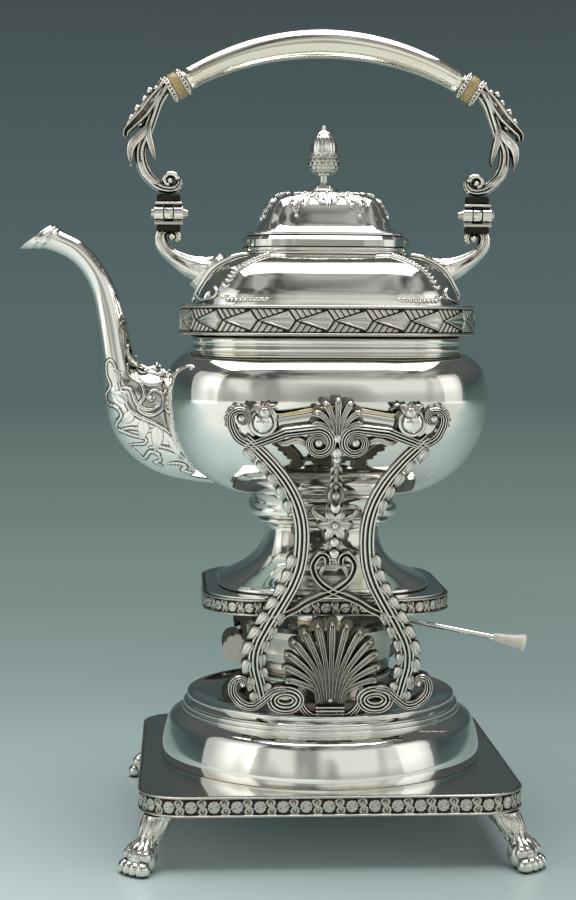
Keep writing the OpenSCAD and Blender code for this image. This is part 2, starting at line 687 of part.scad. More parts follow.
// Line up the lid's side above its rim
lid_side = [for (q = [[1.02, 0.3], [0.865, 0.45], [0.765, 0.6], [0.63, 0.8], [0.54, 0.87], [0.4, 0.93], [0, 1]])
  [mix(lid_top, lid_half - 7, q[0]), lid_z + lid_h * q[1]]];
lid_line = concat([[lid_half - 2, lid_z + 0.18 * lid_h], [lid_half - 2, lid_z + 0.27 * lid_h]], lid_side);

module lid_shell() {
  top = lid_z + lid_h;
  color(silver) difference() {
    cushion(lid_core, lid_line);
    cushion(lid_core, inside(lid_side, wall, lid_z, top - 2 * wall));
    translate([0, 0, top - 5]) cylinder(r = stud_r + pin_fit, h = 10);
  }
}

// Rim with the flange that enters the neck and the middle knuckle of the hinge
module lid_rim() {
  flange = mouth_half - 2 * gap;
  color(silver) {
    difference() {
      union() {
        cushion_ring(lid_core, [[flange - wall, lid_z - 0.6 * neck_h], [flange, lid_z - 0.6 * neck_h], [flange, lid_z],
          [lid_half, lid_z], [lid_half, lid_z + 0.12 * lid_h], [lid_half - 1.2, lid_z + 0.18 * lid_h],
          [flange - wall, lid_z + 0.18 * lid_h]]);
        translate([-lid_knuckle_l / 2, lid_half - 2, lid_hinge_z - 0.6])
          cube([lid_knuckle_l, lid_hinge_y - lid_half + 2, lid_knuckle_r + 0.6]);
        lid_knuckle(-lid_knuckle_l / 2, lid_knuckle_l / 2);
      }
      lid_pin_hole();
    }
  }
}

// Lid hinge, at the back of the neck
lid_knuckle_r = 2.2;
lid_knuckle_l = 7;
lid_hinge_pin_r = 1;
lid_hinge_y = lid_half + lid_knuckle_r + gap;
lid_hinge_z = lid_z + 0.5;

module lid_knuckle(x0, x1) {
  translate([x0, lid_hinge_y, lid_hinge_z]) rotate([0, 90, 0]) cylinder(r = lid_knuckle_r, h = x1 - x0);
}

module lid_pin_hole() {
  translate([-20, lid_hinge_y, lid_hinge_z]) rotate([0, 90, 0]) cylinder(r = lid_hinge_pin_r + pin_fit, h = 40);
}

module lid_hinge_seat() {
  inner = lid_knuckle_l / 2 + gap;
  color(silver) difference() {
    union() for (x = [-inner - 5, inner]) {
      lid_knuckle(x, x + 5);
      translate([x, neck_half - 1.2, neck_z + neck_seat])
        cube([5, lid_hinge_y - neck_half + 1.2, neck_h - neck_seat]);
    }
    lid_pin_hole();
  }
}

module lid_hinge_pin() {
  half = lid_knuckle_l / 2 + gap + 5;
  color(dark_silver) translate([-half - 0.6, lid_hinge_y, lid_hinge_z]) rotate([0, 90, 0])
    cylinder(r = lid_hinge_pin_r, h = 2 * half + 1.2);
}

// Cap disc with the stud that holds the finial
stud_r = 1.9;
cap_z = lid_z + lid_h;

// Heights of the cup's foot and of its rim above the lid
cup_z = 0.285 * finial_h;
nut_z = 0.585 * finial_h;

module lid_cap() {
  color(silver) translate([0, 0, cap_z]) rotate_extrude() polygon([
    [0, -3], [stud_r, -3], [stud_r, 0], [7, 0], [7, 0.9], [6.2, 1.5], [4.8, 1.9], [5.4, 2.6], [4.2, 3.8],
    [2.4, 4.4], [stud_r, 0.6 * cup_z], [stud_r, 0.9 * cup_z], [3.5, 0.95 * cup_z], [3.5, cup_z], [0, cup_z]]);
}

module acorn_cup() {
  h = nut_z - cup_z;
  color(silver) translate([0, 0, cap_z + cup_z]) rotate_extrude() polygon([
    [0, 0], [0.42 * cup_r, 0], [0.75 * cup_r, 0.14 * h], [0.93 * cup_r, 0.38 * h], [cup_r, 0.7 * h],
    [0.98 * cup_r, 0.96 * h], [0.88 * cup_r, h], [0.84 * cup_r, 0.7 * h], [0, 0.7 * h]]);
}

module acorn_nut() {
  foot = mix(cup_z, nut_z, 0.7);
  h = finial_h - foot;
  color(silver) translate([0, 0, cap_z + foot]) rotate_extrude() polygon(concat(
    [[0, 0], [0.8 * cup_r, 0], [0.84 * cup_r, 0.25 * h]],
    [for (a = [15 : 15 : 75]) [0.84 * cup_r * cos(a), (0.25 + 0.62 * sin(a)) * h]],
    [[0.13 * cup_r, 0.88 * h], [0.15 * cup_r, 0.95 * h], [0, h]]));
}

// Handle

plate_gap = knuckle_r + 0.35;
flange_t = 1.1;
flange_d = 2 * knuckle_r - 0.8;
middle_l = hinge_l * 0.34;

// Pieces about a handle hinge, with x measured outwards from the hinge's middle
module at_hinge(side) {
  translate([side * hinge_x, 0, hinge_z]) mirror([side < 0 ? 1 : 0, 0, 0]) children();
}

module knuckle(x0, x1) {
  translate([x0, 0, 0]) rotate([0, 90, 0]) cylinder(r = knuckle_r, h = x1 - x0);
}

module hinge_hole() {
  translate([-hinge_l, 0, 0]) rotate([0, 90, 0]) cylinder(r = hinge_pin_r + pin_fit, h = 2 * hinge_l);
}

// Middle of the socket's flange on the shoulder, from the hinge
mount_x = mix(neck_half, waist_half, 0.66) - hinge_x;
mount_z = -hinge_rise - 0.2 * shoulder_h;

module socket(side) {
  // Scroll and arm below the hinge, each point as shares of the way to the flange, then its radius
  arm = [for (q = smooth([[-0.027, 0.383, 1.2], [0.092, 0.312, 1.3], [-0.049, 0.252, 1.5], [-0.237, 0.327, 1.8],
    [-0.248, 0.496, 2.2], [-0.086, 0.654, 2.6], [0.162, 0.797, 3.1], [0.463, 0.91, 4.6],
    [0.722, 0.947, 6.4], [1.002, 1.075, 9]], 2))
    [mount_x * q[0], mount_z * q[1], q[2]]];
  color(silver) difference() {
    union() {
      at_hinge(side) {
        for (x = [[-hinge_l / 2, -middle_l / 2 - gap], [middle_l / 2 + gap, hinge_l / 2]]) {
          difference() {
            union() {
              knuckle(x[0], x[1]);
              translate([x[0], -0.5 * knuckle_r, -plate_gap - 0.2]) cube([x[1] - x[0], knuckle_r, plate_gap]);
            }
            hinge_hole();
          }
        }
        translate([-hinge_l / 2, -flange_d / 2, -plate_gap - flange_t]) cube([hinge_l, flange_d, flange_t]);
        translate([-4, -2.6, -plate_gap - flange_t - 2.5]) cube([7, 5.2, 2.6]);
        path_bar(arm, 14);
      }
      at_hinge(side) translate([mount_x, 0, mount_z]) rotate([0, 45, 0]) cylinder(r = 10.6, h = 4.4, center = true);
    }
    shoulder_form();
  }
}

module socket_left() { socket(-1); }
module socket_right() { socket(1); }

module handle_pin(side) {
  color(dark_silver) at_hinge(side) {
    translate([-hinge_l / 2, 0, 0]) rotate([0, 90, 0]) cylinder(r = hinge_pin_r, h = hinge_l);
    translate([-hinge_l / 2, 0, 0]) rotate([0, -90, 0]) cylinder(r1 = 2.5, r2 = 1.6, h = 2.4);
    translate([hinge_l / 2, 0, 0]) rotate([0, 90, 0]) cylinder(r1 = 2.3, r2 = 1.8, h = 1.5);
  }
}

module handle_pin_left() { handle_pin(-1); }
module handle_pin_right() { handle_pin(1); }

// The grip's arch: its middle and the angle at which its ends meet the rings
arch_z = grip_z - grip_arch;
grip_end = 30.8;
ring_t = 2.6;
ivory_t = 4.2;

// How far the grip and the arms reach into the rings that cut them off square
bite = 0.4;

// Point on the grip's arch at angle a from the top, measured from the hinge's middle
function on_arch(a, extra = 0) =
  [grip_arch * sin(a) + extra * cos(a) - hinge_x, arch_z - hinge_z + grip_arch * cos(a) - extra * sin(a)];

module handle_arm(side) {
  top = on_arch(grip_end, 2 * ring_t + ivory_t - bite);
  back = on_arch(grip_end, 2 * ring_t + ivory_t + 4);
  // Scroll and arm above the hinge, each point as how far it stands out and its share of the way up, then its radius
  arm = concat([for (q = smooth([[-1.8, 0.295, 1.2], [0.1, 0.325, 1.3], [-1.9, 0.366, 1.4], [-5.0, 0.34, 1.6],
    [-5.2, 0.265, 1.9], [-1.7, 0.215, 2.2], [3.2, 0.211, 2.6], [7.6, 0.254, 2.8],
    [9.9, 0.351, 2.9], [10.7, 0.452, 3.1], [10.8, 0.564, 3.9], [10.7, 0.673, 4.9],
    [9.6, 0.776, 5.2], [6.7, 0.879, 4.4]], 2))
    [q[0] + back[0] * q[1], back[1] * q[1], q[2]]], [[back[0], back[1], 4], [top[0], top[1], 4.4]]);
  hook = [for (q = smooth([[8.9, 0.832, 3], [12.9, 0.785, 3.1], [15.8, 0.701, 2.6], [17.2, 0.598, 2.1],
    [17.2, 0.495, 1.4], [16.8, 0.404, 0.4]], 2)) [q[0] + back[0] * q[1], back[1] * q[1], q[2]]];
  color(silver) difference() {
    at_hinge(side) {
      difference() {
        union() {
          knuckle(-middle_l / 2, middle_l / 2);
          translate([-middle_l / 2, -0.5 * knuckle_r, 0]) cube([middle_l, knuckle_r, plate_gap + 0.2]);
        }
        hinge_hole();
      }
      translate([-hinge_l / 2, -flange_d / 2, plate_gap]) cube([hinge_l, flange_d, flange_t]);
      translate([-4, -2.6, plate_gap + flange_t - 0.1]) cube([8, 5.2, 4.6]);
      path_bar(arm, 14);
      path_bar(hook, 10);
      // Buds on the outside of the arm
      for (q = [[5.6, 1.039, 2.2], [9.1, 0.972, 2.4], [12.0, 0.905, 2.6], [14.9, 0.834, 2.8]])
        translate([q[0] + back[0] * q[1], 0, back[1] * q[1]]) sphere(q[2]);
    }
    arch_disc(side, ring_t + ivory_t, ivory_r + 0.4, ring_t);
  }
}

module handle_arm_left() { handle_arm(-1); }
module handle_arm_right() { handle_arm(1); }

// Disc across the grip's arch, from extra past the grip's end
module arch_disc(side, extra, r, t) {
  p = on_arch(grip_end, extra);
  at_hinge(side) translate([p[0], 0, p[1]]) rotate([0, 90 + grip_end, 0]) cylinder(r = r, h = t);
}

module ivory_left() { color(ivory) arch_disc(-1, ring_t, ivory_r, ivory_t); }
module ivory_right() { color(ivory) arch_disc(1, ring_t, ivory_r, ivory_t); }

// Silver rings on both sides of the ivory ones
module grip_collars() {
  color(silver) for (side = [-1, 1]) {
    arch_disc(side, 0, ivory_r + 0.4, ring_t);
    arch_disc(side, ring_t + ivory_t, ivory_r + 0.4, ring_t);
  }
}

module grip() {
  rows = [for (k = [-8 : 8]) let (a = k / 8 * (grip_end + bite / 2))
    [grip_arch * sin(a), arch_z + grip_arch * cos(a), grip_r * (1 - 0.3 * pow(abs(k) / 8, 1.6))]];
  color(silver) difference() {
    path_bar(rows, 20);
    for (side = [-1, 1]) arch_disc(side, 0, ivory_r + 0.4, ring_t);
  }
}

// Burner

seat_r = 0.86 * font_r;
seat_h = 10;

module burner_seat() {
  color(silver) translate([0, 0, disc_top]) rotate_extrude() polygon([
    [seat_r + 0.5, 0], [seat_r + 3, 0], [seat_r + 3, 1.4], [seat_r + 2.2, 2], [seat_r + 2.2, seat_h - 2],
    [seat_r + 3, seat_h - 1.4], [seat_r + 3, seat_h - 0.4], [seat_r + 2.4, seat_h], [seat_r + 0.5, seat_h]]);
}

filler_y = 0.72 * font_r;

module font_form() {
  outer = [[seat_r - 1, gap], [seat_r, gap + 1], [seat_r, seat_h + 1], [seat_r + 2, seat_h + 2],
    [seat_r + 2.6, seat_h + 4], [seat_r + 2, seat_h + 6], [0.93 * font_r, 0.52 * font_h],
    [0.94 * font_r, 0.63 * font_h], [font_r, 0.86 * font_h], [font_r, 0.95 * font_h], [0.93 * font_r, font_h]];
  translate([0, 0, disc_top]) rotate_extrude() polygon(concat([[0, gap]], outer, [[0, font_h]]));
}

module burner_font() {
  floor_z = gap + wall;
  inner = [[0.9 * font_r, font_h - wall], [0.95 * font_r, 0.86 * font_h], [0.88 * font_r, 0.6 * font_h],
    [seat_r - wall, seat_h], [seat_r - wall, floor_z]];
  color(dark_silver) difference() {
    font_form();
    translate([0, 0, disc_top]) {
      rotate_extrude() polygon(concat([[0, font_h - wall]], inner, [[0, floor_z]]));
      translate([0, 0, font_h - 5]) cylinder(r = wick_r + wall, h = 10);
      translate([0, filler_y, font_h - 5]) cylinder(r = filler_r, h = 10);
    }
  }
}

// Wick tube with the flange that carries the regulator
tube_rise = 5.6;
tube_flange = 5;
filler_r = 3.3;

module wick_tube() {
  color(gilt) translate([0, 0, disc_top + 0.55 * font_h]) difference() {
    union() {
      cylinder(r = wick_r + wall, h = 0.45 * font_h + tube_rise);
      translate([0, 0, 0.45 * font_h]) cylinder(r = wick_r + wall + tube_flange, h = 1);
    }
    translate([0, 0, -1]) cylinder(r = wick_r, h = font_h);
  }
}

module wick() {
  color("wheat") translate([0, 0, disc_top + gap + 2]) cylinder(r = wick_r - 0.05, h = font_h + tube_rise - 1);
}

module filler_cap() {
  color(silver) translate([0, filler_y, disc_top + font_h]) {
    cylinder(r = filler_r + 1.1, h = 1.8);
    translate([0, 0, -3]) cylinder(r = filler_r, h = 3);
  }
}

// Scalloped shell by which the burner is lifted
module thumb_piece() {
  color(ivory) difference() {
    translate([-0.94 * font_r, 1, disc_top + 0.58 * font_h]) rotate([90, 0, 0]) linear_extrude(2) {
      translate([-4, -1.6]) square([7, 3.2]);
      translate([-6.4, 0]) circle(5);
      for (a = [90 : 36 : 270]) translate([-6.4 + 4.6 * cos(a), 4.6 * sin(a)]) circle(2.2);
    }
    font_form();
  }
}

// Ring round the wick tube that the lever turns
reg_z = disc_top + font_h + 1 + gap;
reg_h = 2.8;
lever_start = [wick_r + wall + 3, reg_z + reg_h + 1];
lever_end = [lever_l, disc_top + 0.8 * font_h];
lever_turn = -9;

module regulator() {
  dx = lever_end[0] - lever_start[0];
  dz = lever_end[1] - lever_start[1];
  color(silver) {
    translate([0, 0, reg_z]) difference() {
      cylinder(r = wick_r + wall + tube_flange, h = reg_h);
      translate([0, 0, -1]) cylinder(r = wick_r + wall + pin_fit, h = reg_h + 2);
    }
    rotate(lever_turn) {
      translate([lever_start[0], 0, reg_z + reg_h - 0.5]) cylinder(r = 2, h = 3);
      translate([lever_start[0], 0, lever_start[1]]) rotate([0, atan2(dx, dz), 0])
        cylinder(r = lever_r, h = norm([dx, dz]));
    }
  }
}

module lever_knob() {
  dx = lever_end[0] - lever_start[0];
  dz = lever_end[1] - lever_start[1];
  color(ivory) rotate(lever_turn) translate([lever_end[0], 0, lever_end[1]]) rotate([0, atan2(dx, dz), 0])
    rotate_extrude() polygon([[0, 0], [1.8, 0], [2.1, 2], [2.4, 6], [3.2, 11], [4, 14], [3.6, 15], [0, 15.6]]);
}

base_plate();
base_border();
base_dome();
paw_front_left();
paw_front_right();
paw_back_left();
paw_back_right();
bracket_front();
bracket_back();
bracket_bolts();
pin_front_left();
pin_front_right();
pin_back_left();
pin_back_right();
hanger_front();
hanger_back();
kettle_bowl();
leaf_border();
kettle_shoulder();
neck_ring();
pedestal();
plinth();
plinth_border();
spout();
lid_shell();
lid_rim();
lid_hinge_seat();
lid_hinge_pin();
lid_cap();
acorn_cup();
acorn_nut();
socket_left();
socket_right();
handle_pin_left();
handle_pin_right();
handle_arm_left();
handle_arm_right();
ivory_left();
ivory_right();
grip_collars();
grip();
burner_seat();
burner_font();
wick_tube();
wick();
filler_cap();
thumb_piece();
regulator();
lever_knob();
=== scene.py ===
import json
import math

import bpy
import numpy as np
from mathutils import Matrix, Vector


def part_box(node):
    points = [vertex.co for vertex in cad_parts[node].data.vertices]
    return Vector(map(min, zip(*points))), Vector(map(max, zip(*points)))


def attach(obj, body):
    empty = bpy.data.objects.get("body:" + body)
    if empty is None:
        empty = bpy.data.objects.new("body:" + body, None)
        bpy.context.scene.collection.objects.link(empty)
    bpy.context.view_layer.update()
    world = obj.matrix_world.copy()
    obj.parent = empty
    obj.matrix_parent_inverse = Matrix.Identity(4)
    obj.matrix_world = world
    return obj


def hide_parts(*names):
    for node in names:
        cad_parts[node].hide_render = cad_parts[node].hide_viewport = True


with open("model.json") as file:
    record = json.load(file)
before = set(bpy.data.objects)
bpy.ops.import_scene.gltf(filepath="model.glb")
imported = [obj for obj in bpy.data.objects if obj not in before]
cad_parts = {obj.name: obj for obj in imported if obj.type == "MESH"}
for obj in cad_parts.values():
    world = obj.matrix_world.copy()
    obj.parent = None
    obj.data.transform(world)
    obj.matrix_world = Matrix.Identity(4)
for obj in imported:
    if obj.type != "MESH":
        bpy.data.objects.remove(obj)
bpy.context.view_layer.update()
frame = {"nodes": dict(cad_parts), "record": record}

MM = 0.001
TAU = 2 * math.pi
X, Y, Z = 0, 1, 2
SIDES = ((1, "right"), (-1, "left"))


# Measures in millimetres, from the frame where a node has them

def lowest(node, axis):
    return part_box(node)[0][axis] / MM


def highest(node, axis):
    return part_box(node)[1][axis] / MM


def middle(node, axis):
    return (lowest(node, axis) + highest(node, axis)) / 2


wall = 1.2
base_half, plate_top = highest("base_border", X), highest("base_border", Z)
base_low = lowest("base_border", Z)
base_corner = 20.0
dome_r, disc_top = highest("base_dome", X), highest("base_dome", Z)
disc_r = 0.8373 * dome_r
paw_reach, paw_w = 83.5, 14.0
pin_x, pin_z = middle("pin_front_right", X), middle("pin_front_right", Z)
pin_tip_y = lowest("pin_front_right", Y)
bracket_foot_y, bracket_lean, web_t = 52.2, math.radians(12.9), 3.4
bowl_half, bowl_top = highest("kettle_bowl", X), highest("kettle_bowl", Z)
bowl_low = lowest("kettle_bowl", Z)
bowl_core, floor_half, waist_half = 26.0, 36.0, highest("kettle_shoulder", X)
leaf_out = highest("leaf_border", X)
leaf_h = highest("leaf_border", Z) - lowest("leaf_border", Z)
neck_half, neck_top = highest("neck_ring", X), highest("neck_ring", Z)
neck_low = lowest("neck_ring", Z)
lid_core, lid_half = 15.0, -lowest("lid_rim", X)
lid_low, lid_top = neck_top + 0.3, highest("lid_shell", Z)
plinth_half, plinth_low = highest("plinth_border", X), lowest("plinth_border", Z)
plinth_top = highest("plinth", Z)
plinth_corner = 28.0
stem_half, flare_half, pedestal_core = 25.5, 49.0, 14.0
hinge_x, hinge_z = 71.6, middle("handle_pin_left", Z)
grip_arch, grip_end, grip_r = 124.5, math.radians(30.8), 6.9
arch_z = highest("grip", Z) - grip_r - grip_arch
ring_t, ivory_t, ivory_r = 2.6, 4.2, 6.4
spout_reach, spout_rise, spout_root = -lowest("spout", X), 86.0, 18.0


# Geometry

def smooth(points, n):
    """Points of a smooth curve through the given ones, n to a span."""
    p = np.array(points, float)
    t = np.arange(n)[:, None] / n
    out = []
    for i in range(len(p) - 1):
        a, b, c, d = p[max(i - 1, 0)], p[i], p[i + 1], p[min(i + 2, len(p) - 1)]
        out.append(0.5 * (2 * b + (c - a) * t + (2 * a - 5 * b + 4 * c - d) * t * t
                          + (3 * b - a - 3 * c + d) * t ** 3))
    return np.concatenate(out + [p[-1:]])


def even(path, n):
    """The same line with n points, evenly spaced."""
    path = np.asarray(path, float)
    at = np.concatenate([[0], np.cumsum(np.linalg.norm(np.diff(path, axis=0), axis=1))])
    to = np.linspace(0, at[-1], n)
    return np.stack([np.interp(to, at, path[:, k]) for k in range(path.shape[1])], -1)


def around(n):
    """n angles round a full turn."""
    return np.linspace(0, TAU, n, endpoint=False)


def polar(degrees):
    return np.array([math.cos(math.radians(degrees)), math.sin(math.radians(degrees))])


def mix(a, b, t):
    return a + (b - a) * t


def step(x, edge, soft):
    """0 below edge, 1 above edge + soft, smooth between."""
    t = np.clip((x - edge) / soft, 0, 1)
    return t * t * (3 - 2 * t)


def bump(x, centre, width):
    """Round ridge of height 1 about centre, width wide in all."""
    t = np.clip(np.abs(x - centre) / (width / 2), 0, 1)
    return np.sqrt(1 - t * t)


def bell(x, centre, width):
    return np.exp(-((x - centre) / width) ** 2)


def levels(low, high):
    """Function that gives the height at a share of the way up."""
    return lambda share: low + share * (high - low)


def frames(path):
    """Unit directions along a path."""
    d = np.gradient(np.asarray(path, float), axis=0)
    return d / np.maximum(np.linalg.norm(d, axis=1), 1e-9)[:, None]


def across(d, up):
    """Unit vectors square to both."""
    side = np.cross(d, up)
    return side / np.linalg.norm(side, axis=1)[:, None]


def grid_faces(rows, cols, loop=False):
    """Quads of a grid whose rows are rings of points; loop joins the last ring to the first."""
    rr, cc = np.meshgrid(np.arange(rows if loop else rows - 1), np.arange(cols), indexing="ij")
    nr, nc = (rr + 1) % rows, (cc + 1) % cols
    return np.stack([rr * cols + cc, rr * cols + nc, nr * cols + nc, nr * cols + cc], -1).reshape(-1, 4)


def capped(rows, cols):
    """Faces of a tube of rings with a cap at each end."""
    return grid_faces(rows, cols).tolist() + [list(range(cols))[::-1],
                                              list(range((rows - 1) * cols, rows * cols))]


def lathe(profile, segments):
    """Surface of [radius, z] points turned about Z."""
    p, a = np.asarray(profile, float), around(segments)
    verts = np.stack([p[:, 0, None] * np.cos(a), p[:, 0, None] * np.sin(a),
                      np.broadcast_to(p[:, 1, None], (len(p), segments))], -1)
    return verts.reshape(-1, 3), grid_faces(len(p), segments)


def squircle(half, core, a):
    """Points at angles a of a square with full round corners, its straight part about 2 core long."""
    half = np.maximum(half, 1e-6)
    c = np.minimum(core, 0.62 * half)
    n = 1 / (0.5 - np.log2((c * math.sqrt(2) + (half - c)) / half))
    r = half / (np.abs(np.cos(a)) ** n + np.abs(np.sin(a)) ** n) ** (1 / n)
    return r * np.cos(a), r * np.sin(a)


def cushion(profile, core, loop=False, segments=288):
    """Surface with [half width, z] points as its side and a square with full round corners as its plan."""
    rows = []
    for half, z in profile:
        x, y = squircle(half, core, around(segments))
        rows.append(np.stack([x, y, np.full_like(x, z)], -1))
    return np.concatenate(rows), grid_faces(len(rows), segments, loop)


def square_path(half, corner, pitch):
    """Points, outward normals and arc lengths round a square with round corners, and its length."""
    straight, arc = 2 * (half - corner), corner * math.pi / 2
    length = 4 * (straight + arc)
    n = int(round(length / pitch))
    s = np.arange(n) * length / n
    side = (s + straight / 2) % (straight + arc)
    turn = ((s + straight / 2) // (straight + arc)) * math.pi / 2
    on_line = side < straight
    b = np.where(on_line, 0, (side - straight) / corner)
    x = np.where(on_line, side - straight / 2, straight / 2 + corner * np.sin(b))
    y = np.where(on_line, -half, -half + corner * (1 - np.cos(b)))
    nx, ny = np.sin(b), -np.cos(b)
    c, d = np.cos(turn), np.sin(turn)
    points, normals = ((x * c - y * d, x * d + y * c), (nx * c - ny * d, nx * d + ny * c))
    return np.stack(points, -1), np.stack(normals, -1), s, length


def band(half, corner, low, height, depth, relief, rows, pitch, back):
    """Ornamental strip round a square: relief gives height above the strip's ground and tone."""
    points, normals, s, length = square_path(half, corner, pitch)
    vv, ss = np.meshgrid(np.linspace(0, height, rows), s, indexing="ij")
    h, tone = relief(ss, vv, length)
    front = np.concatenate([points + normals * (h - depth)[..., None], (low + vv)[..., None]], -1)
    inner = [np.column_stack([points - normals * back, np.full(len(s), z)]) for z in (low + height, low)]
    return (np.concatenate([front.reshape(-1, 3)] + inner), grid_faces(rows + 2, len(s), loop=True),
            np.concatenate([tone.ravel(), np.ones(2 * len(s))]))


def carried(path, side, up, section, wide, high):
    """Section of [side, up] points carried along a path, scaled at each of its points."""
    verts = (path[:, None] + side[:, None] * (section[:, 0] * wide[:, None])[..., None]
             + up[:, None] * (section[:, 1] * high[:, None])[..., None])
    return verts.reshape(-1, 3), capped(len(path), len(section))


def sweep(path, up, section, wide, high):
    """Bar of one section along a path in space."""
    d = frames(path)
    side = across(d, np.broadcast_to(np.asarray(up, float), path.shape))
    return carried(path, side, np.cross(side, d), section, wide, high)


def ball(centre, radii, nu=10, nv=14):
    """Ellipsoid as a grid of points."""
    uu, vv = np.meshgrid(np.linspace(0, math.pi, nu), around(nv), indexing="ij")
    p = np.stack([np.sin(uu) * np.cos(vv), np.sin(uu) * np.sin(vv), np.cos(uu)], -1)
    return (p * radii).reshape(-1, 3) + np.asarray(centre, float), grid_faces(nu, nv)


def make(name, shape, material, body, replaces=None):
    """Object from points in millimetres, faces and tones, riding on a body."""
    verts, faces, *tones = shape
    mesh = bpy.data.meshes.new(name)
    mesh.from_pydata([tuple(v) for v in np.asarray(verts, float) * MM], [], [tuple(f) for f in faces])
    mesh.validate()
    mesh.polygons.foreach_set("use_smooth", [True] * len(mesh.polygons))
    shade = 1 - tones[0] if tones else np.zeros(len(mesh.vertices))
    layer = mesh.color_attributes.new("shade", "FLOAT_COLOR", "POINT")
    layer.data.foreach_set("color", np.repeat(shade, 4))
    mesh.materials.append(bpy.data.materials[material])
    obj = bpy.data.objects.new(name, mesh)
    bpy.context.scene.collection.objects.link(obj)
    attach(obj, body)
    if replaces:
        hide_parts(replaces)


# Sections of bands and leaves, and what is laid with them

def section(*points):
    """Closed section from [share of half width, share of height], given from the middle outwards."""
    return np.array([(-u, h) for u, h in reversed(points) if u > 0] + list(points)
                    + [(1.0, -0.4), (-1.0, -0.4)])


def fluted(lobes, deep, n=64):
    a = around(n)
    r = 1 - deep * (0.5 - 0.5 * np.cos(lobes * a)) ** 2
    return np.stack([r * np.cos(a), r * np.sin(a)], -1)


ROUND = section((0, 1), (0.35, 0.94), (0.7, 0.7), (0.92, 0.38), (1, 0))
TWO_RIDGES = section((0, 0.3), (0.25, 0.35), (0.42, 0.6), (0.58, 0.95), (0.78, 1), (0.93, 0.7), (1, 0))
THREE_RIDGES = section((0, 1), (0.14, 0.92), (0.26, 0.5), (0.36, 0.3), (0.46, 0.5), (0.6, 0.92),
                       (0.78, 0.95),
                       (0.93, 0.6), (1, 0))
BROAD_RIDGES = section((0, 0.25), (0.07, 0.5), (0.16, 0.9), (0.28, 1), (0.42, 0.9), (0.5, 0.5), (0.55, 0.3),
                       (0.61, 0.55), (0.72, 0.82), (0.86, 0.78), (0.95, 0.4), (1, 0))
LEAF = section((0, 1), (0.1, 0.72), (0.3, 0.56), (0.5, 0.68), (0.62, 0.5), (0.8, 0.52), (1, 0))
PETAL = section((0, 0.8), (0.18, 0.62), (0.4, 0.66), (0.62, 0.92), (0.78, 1), (0.92, 0.7), (1, 0))
PLAIN_ROUND, THIN_ROUND, FLUTED = fluted(1, 0.0, 32), fluted(1, 0.0, 14), fluted(7, 0.22)


def taper(start, end, swell=0.0):
    return lambda t: mix(start, end, t) + swell * np.sin(math.pi * t)


def leaf_shape(wide, lobes=0, tip=0.12):
    """Half width of a leaf that swells near its root and closes to a point, with scalloped sides."""
    def width(t):
        body = np.sin(math.pi * np.clip(t, 0, 1) ** 0.75) ** 0.8 * (1 - tip) + tip * (1 - t)
        return wide * np.maximum(body, 0.06) * (1 - 0.22 * np.abs(np.sin(math.pi * lobes * t)))
    return width


def spiral(c, r0, r1, a0, turn, n=24, flat=1.0):
    a = np.radians(a0 + turn * np.linspace(0, 1, n))
    r = np.linspace(r0, r1, n)
    return np.stack([c[0] + r * np.cos(a), c[1] + flat * r * np.sin(a)], -1)


def aside(path, d):
    """The line moved sideways, to its left."""
    h = frames(path)
    return np.asarray(path) + d * np.stack([-h[:, 1], h[:, 0]], -1)


